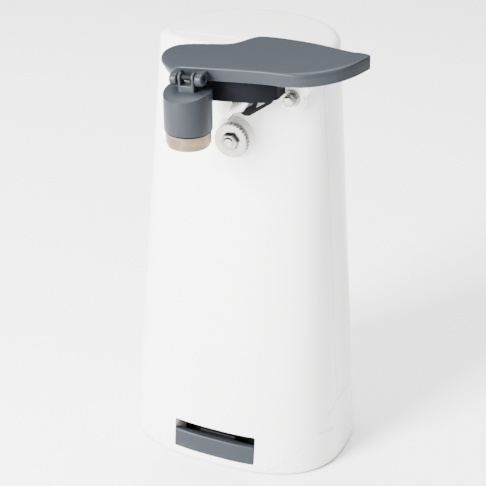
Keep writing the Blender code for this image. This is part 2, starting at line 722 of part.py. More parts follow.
def make_guide_stud():
    x, z = STUD_XZ
    radius = STUD_ACROSS_FLATS / 2 / math.cos(math.radians(30))
    head = bevel(y_rod(x, z, STUD_Y[0], STUD_Y[1], radius, 6, turn=math.radians(12)), 0.35, 1, 25)
    shank = y_rod(x, z, STUD_Y[1] - 1.0, BOSS_END_Y + 1.0, STUD_SHANK_R, 12)
    return part(join(head, shank), "guide_stud", STEEL)


def wire(points, radius, name, look, origin=None):
    curve = bpy.data.curves.new(name, "CURVE")
    curve.dimensions = "3D"
    curve.bevel_depth = radius * MM
    curve.bevel_resolution = 2
    curve.use_fill_caps = True
    spline = curve.splines.new("POLY")
    spline.points.add(len(points) - 1)
    for point, place in zip(spline.points, points):
        point.co = (*(value * MM for value in place), 1.0)
    obj = bpy.data.objects.new(name, curve)
    CUTTERS.objects.link(obj)
    bpy.context.view_layer.update()
    mesh = bpy.data.meshes.new_from_object(obj.evaluated_get(bpy.context.evaluated_depsgraph_get()))
    bpy.data.objects.remove(obj)
    bm = bmesh.new()
    bm.from_mesh(mesh)
    bmesh.ops.remove_doubles(bm, verts=bm.verts, dist=1e-6)
    return part(from_bmesh(bm), name, look, origin)


def make_stud_clip():
    """A sprung wire hooked round the guide stud's foot, with one leg standing up beside it."""
    x, z = STUD_XZ
    y = STUD_Y[1] - 0.75
    radius = 4.1
    points = [(x + radius * math.cos(math.radians(a)), y, z + radius * math.sin(math.radians(a)))
              for a in range(-60, 160, 20)]
    points += [(x - 3.4, y - 1.2, z + 3.4), (x - 2.6, y - 2.4, z + 5.4)]
    return wire(points, 0.4, "stud_clip", STEEL)


# --- gears -----------------------------------------------------------------------------


def gear_loop(teeth, module, tooth_at):
    """A gear's outline with one tooth centred on the given angle, in degrees."""
    pitch = 2 * math.pi / teeth
    pitch_r = module * teeth / 2
    steps = ((-0.31, -1.1), (-0.11, 0.8), (0.11, 0.8), (0.31, -1.1))
    made = []
    for k in range(teeth):
        middle = math.radians(tooth_at) + k * pitch
        for share, height in steps:
            radius = pitch_r + height * module
            angle = middle + share * pitch
            made.append((radius * math.cos(angle), radius * math.sin(angle)))
    return made


def gear(x, z, y_low, y_high, teeth, module, tooth_at, bore):
    # The outline faces -Y, so its local height is -y.
    return outline([gear_loop(teeth, module, tooth_at), circle(bore, 16)[::-1]], -y_high, -y_low,
                   facing_front(x, 0.0, z))


def half_tooth(teeth):
    return 180.0 / teeth


def stage_distance(big, small, module):
    return (big + small) * module / 2


AXLE_1_Z = WHEEL_AXIS[1] - stage_distance(TEETH_BIG_1, TEETH_SMALL_1, MODULE_1)
AXLE_2_Z = AXLE_1_Z - stage_distance(TEETH_BIG_2, TEETH_SMALL_2, MODULE_2)
MOTOR_Z = AXLE_2_Z - stage_distance(TEETH_BIG_3, TEETH_SMALL_3, MODULE_3)


def make_output_gear():
    x, z = WHEEL_AXIS
    wheel = gear(x, z, -13.5, -8.0, TEETH_BIG_1, MODULE_1, -90.0, SPINDLE_R + GAP)
    return part(wheel, "output_gear", ZINC, (x, -10.0, z))


def cluster(name, z, small, big, y_small, y_big, x=WHEEL_AXIS[0]):
    """A small gear that meshes upwards and a big one that meshes downwards, as one moulding."""
    pinion = gear(x, z, *y_small, *small, 90.0 + half_tooth(small[0]), AXLE_R + GAP)
    wheel = gear(x, z, *y_big, *big, -90.0, AXLE_R + GAP)
    return part(join(wheel, pinion), name, NYLON, (x, y_big[0], z))


def make_reduction_gears():
    cluster("reduction_gear_1", AXLE_1_Z, (TEETH_SMALL_1, MODULE_1), (TEETH_BIG_2, MODULE_2),
            (-14.0, -6.0), (-7.3, -3.8))
    cluster("reduction_gear_2", AXLE_2_Z, (TEETH_SMALL_2, MODULE_2), (TEETH_BIG_3, MODULE_3),
            (-7.8, -1.5), (-2.9, 0.3))
    for number, z in enumerate((AXLE_1_Z, AXLE_2_Z), 1):
        axle = y_rod(WHEEL_AXIS[0], z, FRONT_PLATE_Y[1] + GAP, REAR_PLATE_Y[0] - GAP, AXLE_R, 20)
        part(axle, f"gear_axle_{number}", STEEL)


def make_motor():
    x, z = WHEEL_AXIS[0], MOTOR_Z
    pinion = gear(x, z, -3.6, 1.4, TEETH_SMALL_3, MODULE_3, 90.0 + half_tooth(TEETH_SMALL_3), AXLE_R + GAP)
    part(pinion, "motor_pinion", BRONZE, (x, 0.0, z))
    shaft = y_rod(x, z, -4.6, MOTOR_Y[1] + 3.0, AXLE_R, 20)
    part(shaft, "motor_shaft", STEEL, (x, 0.0, z))
    body = bevel(y_rod(x, z, MOTOR_Y[0], MOTOR_Y[1], MOTOR_R, 32), 1.5, 1, 60)
    for side in (-1, 1):
        flat = block((x + side * 22.0 - 5.0, 0.0, z - 30.0), (x + side * 22.0 + 5.0, 50.0, z + 30.0))
        cut(body, flat)
    cut(body, y_rod(x, z, 0.0, 60.0, AXLE_R + GAP, 20))
    part(body, "motor_body", ZINC)


PLATE_LOOP = ((-21.0, 104.0), (30.2, 104.0), (30.2, 180.0), (26.0, 218.0), (-17.0, 218.0), (-21.0, 180.0))
SPACERS = ((-16.9, 174.0), (26.1, 174.0), (-16.9, 120.0), (26.1, 120.0))


def make_gear_plates():
    x = WHEEL_AXIS[0]
    front_holes = [circle(SPINDLE_R + GAP, 20, WHEEL_AXIS)[::-1]]
    front_holes += [circle(1.6, 12, place)[::-1] for place in GEARBOX_POSTS]
    front = outline([PLATE_LOOP] + front_holes, -FRONT_PLATE_Y[1], -FRONT_PLATE_Y[0], facing_front())
    part(front, "gear_plate_front", ZINC)
    rear_holes = [circle(AXLE_R + 1.2, 20, (x, MOTOR_Z))[::-1]]
    rear = outline([PLATE_LOOP] + rear_holes, -REAR_PLATE_Y[1], -REAR_PLATE_Y[0], facing_front())
    part(rear, "gear_plate_rear", ZINC)
    for number, (sx, sz) in enumerate(SPACERS, 1):
        spacer = y_rod(sx, sz, FRONT_PLATE_Y[1] + GAP, REAR_PLATE_Y[0] - GAP, 2.6, 12)
        part(spacer, f"plate_spacer_{number}", ZINC)


def make_gearbox_screws():
    for number, (x, z) in enumerate(GEARBOX_POSTS, 1):
        head = y_rod(x, z, FRONT_PLATE_Y[1] + GAP, FRONT_PLATE_Y[1] + 1.9, 3.0, 12)
        shank = y_rod(x, z, -26.5, FRONT_PLATE_Y[1] + 0.6, 1.2, 8)
        part(join(head, shank), f"gearbox_screw_{number}", ZINC)


# --- switch and bottle opener ----------------------------------------------------------


def make_switch():
    x, y = BUTTON_XY
    body = bevel(block((x - 6.0, -14.8, 222.0), (x + 5.0, -4.0, 236.0)), 0.6, 1)
    cut(body, z_rod(x, y + 1.5, 233.0, 240.0, 2.6, 16))
    part(body, "switch_body", BLACK)
    stem = z_rod(x, y, 238.0, BUTTON_TOP - 0.4, BUTTON_R, 14)
    foot = z_rod(x, y + 1.2, 235.4, 239.0, 1.2, 8)
    cap = z_rod(x, y + 0.3, 238.6, 241.5, BUTTON_R + 0.5, 14)
    tip = rod((x, y, BUTTON_TOP - 0.5), (x, y, BUTTON_TOP), BUTTON_R, 14, BUTTON_R - 0.5)
    part(join(stem, cap, tip, foot), "switch_button", DARK_GREY, (x, y, BUTTON_TOP))


def make_opener_lip():
    """The grey bar across the slot, following the housing's curve."""
    lip = tower(0.0, LIFT, 60.0, 1.0, 0.0, levels=5, grow=0.5)
    bar = block((-SLOT_HALF_WIDTH + GAP, -70.0, SLOT_LOW + GAP), (SLOT_HALF_WIDTH - GAP, -42.3, LIP_HIGH))
    keep_inside(lip, bevel(bar, 0.6, 1))
    cut(lip, block((-SLOT_HALF_WIDTH + 4.0, -44.6, LIP_HIGH - 1.4), (SLOT_HALF_WIDTH - 4.0, -30.0, 30.0)))
    return part(lip, "opener_lip", LEVER_GREY)


def make_opener_pocket():
    """The liner behind the slot: two side walls, roof, floor and back."""
    wall = 1.6
    half = SLOT_HALF_WIDTH
    outer = block((-half - wall, -60.0, SLOT_LOW - wall), (half + wall, SLOT_DEPTH_Y, SLOT_HIGH + wall))
    keep_inside(outer, tower(WALL + GAP, 2.0, 80.0, 1.0, 0.0, levels=5))
    cut(outer, block((-half, -70.0, SLOT_LOW), (half, SLOT_DEPTH_Y - wall, SLOT_HIGH)))
    return part(outer, "opener_pocket", WHITE)


def make_opener_hook():
    hook = bevel(block((-11.0, -41.9, 7.0), (11.0, -40.4, LIP_HIGH + 0.2)), 0.3, 1)
    return part(hook, "opener_hook", STEEL)


make_front_housing()
make_rear_cover()
make_base_skirt()
make_base_plate()
make_feet()
make_case_screws()
make_base_screws()
make_cord_bush()
make_lever_plate()
make_blade_carrier()
make_cutting_blade()
make_rim_guide()
make_carrier_screws()
make_lever_pivot_pin()
make_magnet_hinge_pin()
make_magnet_holder()
make_magnet_cup()
make_magnet_disc()
make_drive_wheel()
make_wheel_nut()
make_drive_spindle()
make_spindle_bush()
make_guide_stud()
make_stud_clip()
make_output_gear()
make_reduction_gears()
make_motor()
make_gear_plates()
make_gearbox_screws()
make_switch()
make_opener_lip()
make_opener_pocket()
make_opener_hook()

for made in bpy.data.objects:
    made.location += Vector(FRAME_SHIFT) * MM
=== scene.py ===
"""An upright electric can opener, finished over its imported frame.

Places are in metres in the frame's own coordinates: +Z up, the front towards -Y, the origin
under the middle of the whole opener. The making functions work in millimetres from the middle
of the housing's foot, and place() turns those into the frame's metres.
"""

import json
import math

import bmesh
import bpy
import numpy as np
from mathutils import Matrix, Vector

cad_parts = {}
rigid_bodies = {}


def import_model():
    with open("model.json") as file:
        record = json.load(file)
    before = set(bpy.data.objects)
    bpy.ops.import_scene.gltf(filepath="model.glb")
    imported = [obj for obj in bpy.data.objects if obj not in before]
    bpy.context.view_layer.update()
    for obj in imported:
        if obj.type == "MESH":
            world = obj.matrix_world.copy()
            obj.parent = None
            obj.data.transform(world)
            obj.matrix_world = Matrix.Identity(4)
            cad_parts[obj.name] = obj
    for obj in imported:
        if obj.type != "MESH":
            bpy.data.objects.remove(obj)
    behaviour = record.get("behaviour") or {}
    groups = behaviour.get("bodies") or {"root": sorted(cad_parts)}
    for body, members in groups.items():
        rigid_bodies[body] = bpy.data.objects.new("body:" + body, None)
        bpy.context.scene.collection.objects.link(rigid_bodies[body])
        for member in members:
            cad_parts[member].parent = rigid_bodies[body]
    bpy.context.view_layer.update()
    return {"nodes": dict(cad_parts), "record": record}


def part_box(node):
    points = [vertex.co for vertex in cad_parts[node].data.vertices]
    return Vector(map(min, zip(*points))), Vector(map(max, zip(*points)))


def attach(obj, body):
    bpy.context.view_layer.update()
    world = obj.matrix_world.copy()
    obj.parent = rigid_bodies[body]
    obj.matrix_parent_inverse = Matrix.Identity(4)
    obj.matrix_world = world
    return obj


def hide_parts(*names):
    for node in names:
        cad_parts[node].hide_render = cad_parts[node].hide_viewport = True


bl_info = {
    "name": "Can Opener Finish",
    "version": (1, 0, 0),
    "blender": (4, 5, 0),
    "location": "View3D > Sidebar > Opener",
    "description": "Makes the finished shells, lever, lid holder, cutting parts and stage of a can opener",
    "category": "Object",
}

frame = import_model()
MM = 0.001
TO_REAR = (0, 1, 0)

# The housing's own middle in the frame: the rear gear plate starts 3.5 mm behind it.
PLATE_LOW, PLATE_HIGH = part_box("base_plate")
MIDDLE = Vector(((PLATE_LOW.x + PLATE_HIGH.x) / 2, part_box("gear_plate_rear")[0].y - 3.5 * MM, 0.0))


def place(x, y, z):
    """A place in the frame from millimetres off the housing's middle."""
    return MIDDLE + Vector((x, y, z)) * MM


def mix(a, b, t):
    return a + (b - a) * t


# --- sizes and colours that a user may change --------------------------------------------


def length(name, description, default, low=0.0, high=0.5):
    return bpy.props.FloatProperty(
        name=name, description=description, default=default, min=low, max=high, unit="LENGTH", precision=5)


def count(name, description, default, low, high):
    return bpy.props.IntProperty(name=name, description=description, default=default, min=low, max=high)


def colour(name, description, default):
    return bpy.props.FloatVectorProperty(
        name=name, description=description, default=default, size=3, min=0.0, max=1.0, subtype="COLOR")


class ShellSizes(bpy.types.PropertyGroup):
    height: length("Height", "Top of the housing above the worktop", 0.2480)
    wall: length("Wall", "Thickness of the moulded shells", 0.0020)
    seam: length("Seam", "Gap between neighbouring shells", 0.0003)
    edge: length("Edge", "Rounding along the shells' edges", 0.00025)
    top_rounding: length("Top Rounding", "Rounding round the top of the housing", 0.0042)
    foot_rounding: length("Foot Rounding", "Rounding round the bottom edge", 0.0016)
    columns: count("Columns", "Faces round half of the housing", 170, 24, 400)
    rows: count("Rows", "Faces up the housing", 70, 12, 200)


class LeverSizes(bpy.types.PropertyGroup):
    skirt: length("Skirt", "Height of the lever's side wall", 0.0071)
    plate: length("Plate", "Thickness of the lever where it passes over the housing", 0.0029)
    crisp: length("Crisp Edge", "Rounding along the front edge", 0.0009)
    soft: length("Soft Edge", "Rounding round the left end and the paddle", 0.0026)
    wall: length("Wall", "Thickness of the lever's moulding", 0.0018)


class WheelSizes(bpy.types.PropertyGroup):
    teeth: count("Teeth", "Teeth round the drive wheel", 30, 12, 60)
    radius: length("Radius", "Radius over the drive wheel's teeth", 0.0095)
    tooth: length("Tooth", "Depth of a tooth", 0.0007)


class Colours(bpy.types.PropertyGroup):
    shell: colour("Shell", "Glossy housing moulding", (0.79, 0.79, 0.775))
    lever: colour("Lever", "Satin lever moulding", (0.0175, 0.0205, 0.0255))
    carrier: colour("Carrier", "Dark moulding that carries the blade", (0.0030, 0.0034, 0.0052))
    nickel: colour("Nickel", "Plated cup of the lid magnet", (0.15, 0.115, 0.08))
    steel: colour("Steel", "Plated steel of the blade, wheel and stud", (0.33, 0.32, 0.30))
    floor: colour("Floor", "Pale floor and backdrop", (0.97, 0.97, 0.97))


def settings():
    return bpy.context.scene.opener_settings


class OpenerSettings(bpy.types.PropertyGroup):
    shell: bpy.props.PointerProperty(type=ShellSizes)
    lever: bpy.props.PointerProperty(type=LeverSizes)
    wheel: bpy.props.PointerProperty(type=WheelSizes)
    colours: bpy.props.PointerProperty(type=Colours)


# --- finishes ------------------------------------------------------------------------------


class Value:
    """A shader socket that Python expressions work on, adding Math nodes as they go."""

    def __init__(self, finish, socket):
        self.finish, self.socket = finish, socket

    def math(self, operation, *others):
        return self.finish.node("Math", {"operation": operation}, dict(enumerate((self, *others))))

    def __add__(self, other):
        return self.math("ADD", other)

    def __radd__(self, other):
        return self.math("ADD", other)

    def __mul__(self, other):
        return self.math("MULTIPLY", other)

    def __rsub__(self, other):
        return self.finish.node("Math", {"operation": "SUBTRACT"}, {0: other, 1: self})


class Finish:
    """A material whose nodes are added one at a time."""

    def __init__(self, name, roughness=0.5, metallic=0.0, coat=0.0, specular=0.5):
        self.material = bpy.data.materials.new(name)
        self.material.use_nodes = True
        self.tree = self.material.node_tree
        self.shader = self.tree.nodes["Principled BSDF"]
        self.put(self.shader, {"Roughness": roughness, "Metallic": metallic, "Coat Weight": coat,
                               "Coat Roughness": 0.08, "Specular IOR Level": specular})
        self.where = self.node("TexCoord", out="Object")

    def put(self, node, inputs):
        for key, value in inputs.items():
            if isinstance(value, Value):
                self.tree.links.new(value.socket, node.inputs[key])
            else:
                node.inputs[key].default_value = value

    def node(self, kind, options=None, inputs=None, out=0):
        """Adds a node, sets it up, joins its inputs and gives back one of its outputs."""
        made = self.tree.nodes.new("ShaderNode" + kind)
        for key, value in (options or {}).items():
            setattr(made, key, value)
        self.put(made, inputs or {})
        return Value(self, made.outputs[out])

    def axis(self, name):
        return self.node("SeparateXYZ", None, {0: self.where}, name)

    def noise(self, scale, detail=3.0, stretch=None):
        """Soft cloudy noise from 0 to 1, with features about 1 / scale metres across."""
        vector = self.where
        if stretch:
            vector = self.node("Mapping", None, {"Vector": vector, "Scale": stretch})
        return self.node("TexNoise", None, {"Vector": vector, "Scale": scale, "Detail": detail})

    def between(self, value, low, high, to_low=0.0, to_high=1.0):
        return self.node("MapRange", {"clamp": True}, {
            "Value": value, "From Min": low, "From Max": high, "To Min": to_low, "To Max": to_high})

    def blend(self, amount, first, second):
        made = self.tree.nodes.new("ShaderNodeMix")
        made.data_type = "RGBA"
        for index, value in ((0, amount), (6, first), (7, second)):
            if isinstance(value, Value):
                self.tree.links.new(value.socket, made.inputs[index])
            else:
                made.inputs[index].default_value = value if index == 0 else (*value, 1.0)
        return Value(self, made.outputs[2])

    def bump(self, *layers):
        """Stacks (height, strength, distance in metres) layers into one normal."""
        normal = None
        for height, strength, distance in layers:
            inputs = {"Height": height, "Strength": strength, "Distance": distance}
            if normal:
                inputs["Normal"] = normal
            normal = self.node("Bump", None, inputs)
        self.put(self.shader, {"Normal": normal})

    def done(self, **inputs):
        self.put(self.shader, {key.replace("_", " "): value for key, value in inputs.items()})
        return self.material


def shade(base, factor):
    return tuple(min(1.0, channel * factor) for channel in base)


def glossy_white():
    """Shell moulding: near-white gloss with a faint ripple, a warm cast, and darker, rougher patches low
    down.
    """
    f = Finish("glossy_white", coat=0.35)
    base = tuple(settings().colours.shell)
    clouds = f.noise(14.0, 4.0)
    # Darker, rougher noise patches that fade out over the lowest 3 cm above the floor.
    low_patches = f.between(f.axis("Z"), 0.0, 0.03, 1.0, 0.0) * f.between(f.noise(160.0, 6.0), 0.45, 0.75)
    tone = f.blend(clouds * 0.6, base, (base[0] * 0.975, base[1] * 0.972, base[2] * 0.955))
    f.bump((f.noise(26.0, 1.0), 0.05, 0.004), (f.noise(900.0, 2.0), 0.03, 0.0002))
    rough = 0.20 + f.between(f.noise(220.0, 5.0), 0.35, 0.75) * 0.07 + low_patches * 0.12
    return f.done(Base_Color=f.blend(low_patches * 0.18, tone, (0.55, 0.53, 0.50)), Roughness=rough)


def grained_plastic(name, base, rough, grain=1.0, specular=0.14):
    """Spark-eroded satin moulding: fine pits, slow cloudy tone and rubbed, smoother patches."""
    f = Finish(name, specular=specular)
    pits = f.node("TexVoronoi", {"feature": "SMOOTH_F1"}, {"Vector": f.where, "Scale": 2600.0})
    fine = f.noise(3200.0, 2.0)
    rubbed = f.between(f.noise(55.0, 4.0), 0.50, 0.72)
    specks = f.between(f.noise(1500.0, 2.0), 0.62, 0.80)
    tone = f.blend(f.noise(38.0, 5.0), shade(base, 0.93), shade(base, 1.06))
    f.bump((pits, 0.22 * grain, 0.00012), (fine, 0.14 * grain, 0.00008), (f.noise(30.0, 1.0), 0.03, 0.003))
    return f.done(Base_Color=f.blend(specks * 0.25, tone, shade(base, 1.25)),
                  Roughness=rough - rubbed * 0.06 + fine * 0.05)


def plated_metal(name, base, rough, stretch=(1.0, 1.0, 1.0), lines=0.10, tarnish=0.25, deep=0.55):
    """Plated or ground metal: drawn lines along one way, soft tarnish and a few pits."""
    f = Finish(name, metallic=1.0)
    drawn = f.noise(2400.0, 3.0, stretch)
    clouds = f.between(f.noise(130.0, 6.0), 0.42, 0.70)
    pits = f.between(f.noise(1900.0, 2.0), 0.66, 0.74)
    dull = clouds * tarnish
    f.bump((drawn, lines, 0.00006), (pits, 0.10, 0.00005))
    tone = f.blend(dull, base, shade(base, deep))
    return f.done(Base_Color=f.blend(pits * 0.4, tone, shade(base, 0.35)),
                  Roughness=rough + drawn * 0.10 + dull * 0.35)


def turned_nickel():
    """Warm bright plating with fine lathe lines round it."""
    f = Finish("turned_nickel", metallic=1.0)
    base = tuple(settings().colours.nickel)
    height = f.axis("Z")
    rings = (height * 9000.0 + f.noise(60.0, 2.0) * 3.0).math("SINE")
    streaks = f.noise(700.0, 4.0, (1.0, 1.0, 12.0))
    stain = f.between(f.noise(240.0, 6.0), 0.50, 0.72)
    f.bump((rings, 0.05, 0.00004), (streaks, 0.08, 0.00005))
    return f.done(Base_Color=f.blend(stain * 0.35, base, (0.36, 0.26, 0.16)),
                  Roughness=0.14 + streaks * 0.07 + stain * 0.10)


def ground_ceramic():
    f = Finish("ground_ceramic")
    grit = f.noise(2200.0, 4.0)
    f.bump((grit, 0.4, 0.00012), (f.noise(300.0, 3.0, (1.0, 9.0, 1.0)), 0.15, 0.0001))
    return f.done(Base_Color=f.blend(grit, (0.030, 0.030, 0.033), (0.085, 0.083, 0.085)),
                  Roughness=0.62 + grit * 0.15)


def soft_rubber():
    f = Finish("soft_rubber", specular=0.35)
    fine = f.noise(1800.0, 4.0)
    bloom = f.between(f.noise(90.0, 5.0), 0.45, 0.75)
    f.bump((fine, 0.30, 0.00015))
    return f.done(Base_Color=f.blend(bloom * 0.5, (0.018, 0.018, 0.019), (0.055, 0.054, 0.052)),
                  Roughness=0.72 + fine * 0.16)


def natural_nylon():
    f = Finish("natural_nylon")
    flow = f.noise(180.0, 5.0, (1.0, 3.0, 1.0))
    grease = f.between(f.noise(120.0, 4.0), 0.52, 0.66)
    f.bump((f.noise(1400.0, 3.0), 0.12, 0.0001))
    tone = f.blend(flow, (0.68, 0.66, 0.57), (0.76, 0.74, 0.66))
    return f.done(Base_Color=f.blend(grease * 0.45, tone, (0.42, 0.33, 0.16)),
                  Roughness=0.46 - grease * 0.22)


def sintered_bronze():
    f = Finish("sintered_bronze", metallic=1.0)
    pores = f.between(f.noise(2600.0, 3.0), 0.55, 0.72)
    oil = f.between(f.noise(160.0, 4.0), 0.48, 0.68)
    f.bump((1.0 - pores, 0.35, 0.0001))
    tone = f.blend(oil, (0.50, 0.34, 0.17), (0.30, 0.19, 0.09))
    return f.done(Base_Color=f.blend(pores * 0.6, tone, (0.12, 0.08, 0.05)), Roughness=0.46 - oil * 0.14)


# Painted shade: a near-black finish that stands in for the shadow inside the white slot.
def dark_slot():
    f = Finish("dark_slot", roughness=0.9, specular=0.1)
    return f.done(Base_Color=f.blend(f.noise(300.0), (0.006, 0.006, 0.006), (0.014, 0.014, 0.013)))


def pale_floor():
    f = Finish("pale_floor", roughness=0.85, specular=0.1)
    base = tuple(settings().colours.floor)
    return f.done(Base_Color=f.blend(f.noise(3.0, 2.0), base, shade(base, 0.992)))


FINISHES = {}


def finish(name):
    """Each material is made once, the first time a piece asks for it."""
    c = settings().colours
    makers = {
        "glossy_white": glossy_white,
        "lever_grey": lambda: grained_plastic("lever_grey", tuple(c.lever), 0.34, 0.8),
        "carrier_dark": lambda: grained_plastic("carrier_dark", tuple(c.carrier), 0.42, 1.0, 0.05),
        "black_plastic": lambda: grained_plastic("black_plastic", (0.005, 0.005, 0.006), 0.44, 0.9, 0.06),
        "bright_steel": lambda: plated_metal("bright_steel", tuple(c.steel), 0.17, (1.0, 1.0, 0.08)),
        "ground_blade": lambda: plated_metal(
            "ground_blade", (0.56, 0.54, 0.53), 0.20, stretch=(0.12, 1.0, 1.0), lines=0.22, tarnish=0.15),
        "dull_zinc": lambda: plated_metal(
            "dull_zinc", (0.33, 0.33, 0.31), 0.36, stretch=(1.0, 0.3, 1.0), lines=0.12, tarnish=0.5,
            deep=0.7),
        "turned_nickel": turned_nickel,
        "ground_ceramic": ground_ceramic,
        "soft_rubber": soft_rubber,
        "natural_nylon": natural_nylon,
        "sintered_bronze": sintered_bronze,
        "dark_slot": dark_slot,
        "pale_floor": pale_floor,
    }
    if name not in FINISHES:
        FINISHES[name] = makers[name]()
    return FINISHES[name]


# --- mesh helpers --------------------------------------------------------------------------


def new_object(name, mesh):
    made = bpy.data.objects.new(name, mesh)
    bpy.context.scene.collection.objects.link(made)
    return made


def from_bmesh(name, bm, weld=1e-6):
    bmesh.ops.remove_doubles(bm, verts=bm.verts, dist=weld)
    bmesh.ops.recalc_face_normals(bm, faces=bm.faces)
    mesh = bpy.data.meshes.new(name)
    bm.to_mesh(mesh)
    bm.free()
    return new_object(name, mesh)


def grid(name, rows, around=False, cap_first=False, cap_last=False, matrix=None, weld=1e-6):
    """A sheet through rows of places, or a tube where the rows are closed loops."""
    bm = bmesh.new()
    matrix = matrix or Matrix.Translation(MIDDLE)
    lines = [[bm.verts.new(matrix @ (Vector(point) * MM)) for point in row] for row in rows]
    count = len(lines[0])
    for below, above in zip(lines, lines[1:]):
        for k in range(count if around else count - 1):
            after = (k + 1) % count
            bm.faces.new((below[k], below[after], above[after], above[k]))
    if cap_first:
        bm.faces.new(lines[0][::-1])
    if cap_last:
        bm.faces.new(lines[-1])
    return from_bmesh(name, bm, weld)


def prism(name, loops, edge=0.0, segments=2, matrix=None):
    """A closed solid lofted through matching loops of (x, y, z) millimetres."""
    made = grid(name, loops, around=True, cap_first=True, cap_last=True, matrix=matrix)
    if edge:
        soften(made, edge, segments)
    return made


def turned(name, profile, centre, direction=(0.0, 0.0, 1.0), steps=64, closed=True):
    """A profile of (radius, height) millimetres turned about a line through centre."""
    matrix = Vector(direction).to_track_quat("Z", "Y").to_matrix()
    rows = []
    for radius, height in profile:
        ring = []
        for k in range(steps):
            angle = 2 * math.pi * k / steps
            local = Vector((radius * math.cos(angle), radius * math.sin(angle), height))
            ring.append(tuple(Vector(centre) + matrix @ local))
        rows.append(ring)
    if closed:
        rows.append(rows[0])
    return grid(name, rows, around=True, cap_first=not closed, cap_last=not closed)


def modifier(obj, kind, **values):
    made = obj.modifiers.new(kind.lower(), kind)
    for key, value in values.items():
        setattr(made, key, value)
    return made


def soften(obj, width, segments=2, angle=35.0):
    """Rounds the sharp edges by a width in millimetres."""
    modifier(obj, "BEVEL", width=width * MM, segments=segments, limit_method="ANGLE",
             angle_limit=math.radians(angle), harden_normals=False)
    return obj


def boolean(obj, other, operation):
    modifier(obj, "BOOLEAN", operation=operation, solver="EXACT", object=other)
    return obj


def settled(obj, helpers=(), sharp=32.0):
    """Makes the modifiers' result the mesh itself and clears the helpers away."""
    bpy.context.view_layer.update()
    graph = bpy.context.evaluated_depsgraph_get()
    mesh = bpy.data.meshes.new_from_object(obj.evaluated_get(graph))
    obj.modifiers.clear()
    old, obj.data = obj.data, mesh
    bpy.data.meshes.remove(old)
    mesh.name = obj.name
    mesh.shade_smooth()
    mesh.set_sharp_from_angle(angle=math.radians(sharp))
    for helper in helpers:
        bpy.data.objects.remove(helper)
    return obj


def piece(obj, body, look, slot=None, *nodes, helpers=(), sharp=32.0):
    """A finished piece: its modifiers settled, its finish on, riding on its body."""
    settled(obj, helpers, sharp)
    obj.data.materials.clear()
    obj.data.materials.append(finish(look))
    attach(obj, body)
    if nodes:
        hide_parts(*nodes)
    return obj


def block(low, high, name="cutter"):
    corners = [(low[0], low[1]), (high[0], low[1]), (high[0], high[1]), (low[0], high[1])]
    return prism(name, [[(x, y, z) for x, y in corners] for z in (low[2], high[2])])


def rod(start, end, radius, steps=48):
    along = Vector(end) - Vector(start)
    profile = [(radius, 0.0), (radius, along.length)]
    return turned("rod", profile, start, along, steps, closed=False)


def joined(objects, name):
    """Several meshes made one."""
    bm = bmesh.new()
    for obj in objects:
        bm.from_mesh(settled(obj).data)
    for obj in objects:
        bpy.data.objects.remove(obj)
    mesh = bpy.data.meshes.new(name)
    bm.to_mesh(mesh)
    bm.free()
    return new_object(name, mesh)


# --- geometry nodes ------------------------------------------------------------------------


def node_tree(name, inputs):
    """A Geometry Nodes tree with named inputs, its input node and a way to add nodes."""
    tree = bpy.data.node_groups.new(name, "GeometryNodeTree")
    tree.interface.new_socket("Geometry", in_out="INPUT", socket_type="NodeSocketGeometry")
    for label, kind, default in inputs:
        socket = tree.interface.new_socket(label, in_out="INPUT", socket_type="NodeSocket" + kind)
        if default is not None:
            socket.default_value = default
    tree.interface.new_socket("Geometry", in_out="OUTPUT", socket_type="NodeSocketGeometry")

    def add(kind, options=None, links=None):
        node = tree.nodes.new(kind)
        for key, value in (options or {}).items():
            setattr(node, key, value)
        for key, value in (links or {}).items():
            if isinstance(value, bpy.types.NodeSocket):
                tree.links.new(value, node.inputs[key])
            else:
                node.inputs[key].default_value = value
        return node

    return tree, add("NodeGroupInput"), add


def close_tree(add, geometry, material):
    """Ends a tree in Realize Instances and Set Material."""
    real = add("GeometryNodeRealizeInstances", None, {"Geometry": geometry})
    painted = add("GeometryNodeSetMaterial", None, {"Geometry": real.outputs[0], "Material": material})
    add("NodeGroupOutput", None, {0: painted.outputs[0]})


def set_out_tree():
    """Sets a copy of one piece at each point, turned about its own place by a repeated angle."""
    name = "set_out"
    if name in bpy.data.node_groups:
        return bpy.data.node_groups[name]
    tree, group, add = node_tree(name, (
        ("Piece", "Object", None), ("Turn", "Vector", (0.0, 0.0, 0.0)), ("Material", "Material", None)))
    info = add("GeometryNodeObjectInfo", {"transform_space": "ORIGINAL"},
               {"Object": group.outputs["Piece"]})
    index = add("GeometryNodeInputIndex")
    turn = add("ShaderNodeVectorMath", {"operation": "SCALE"},
               {0: group.outputs["Turn"], "Scale": index.outputs[0]})
    points = add("GeometryNodeMeshToPoints", None, {"Mesh": group.outputs["Geometry"]})
    copies = add("GeometryNodeInstanceOnPoints", None, {
        "Points": points.outputs[0], "Instance": info.outputs["Geometry"], "Rotation": turn.outputs[0]})
    close_tree(add, copies.outputs[0], group.outputs["Material"])
    return tree


def repeated(name, master, places, look, turn=(0.0, 0.0, 0.0)):
    """Copies of a master piece, made about the frame's origin, at a list of places in metres."""
    wanted = {"Piece": settled(master), "Turn": turn, "Material": finish(look)}
    mesh = bpy.data.meshes.new(name)
    mesh.from_pydata([tuple(spot) for spot in places], [], [])
    made = new_object(name, mesh)
    tree = set_out_tree()
    nodes = modifier(made, "NODES", node_group=tree)
    for item in tree.interface.items_tree:
        if item.in_out == "INPUT" and item.name in wanted:
            nodes[item.identifier] = wanted[item.name]
    made.update_tag()
    return settled(made, [master])


def at_origin(obj):
    """Brings a master piece made at the housing's middle to the frame's origin."""
    obj.data.transform(Matrix.Translation(-MIDDLE))
    return obj


# --- housing form --------------------------------------------------------------------------

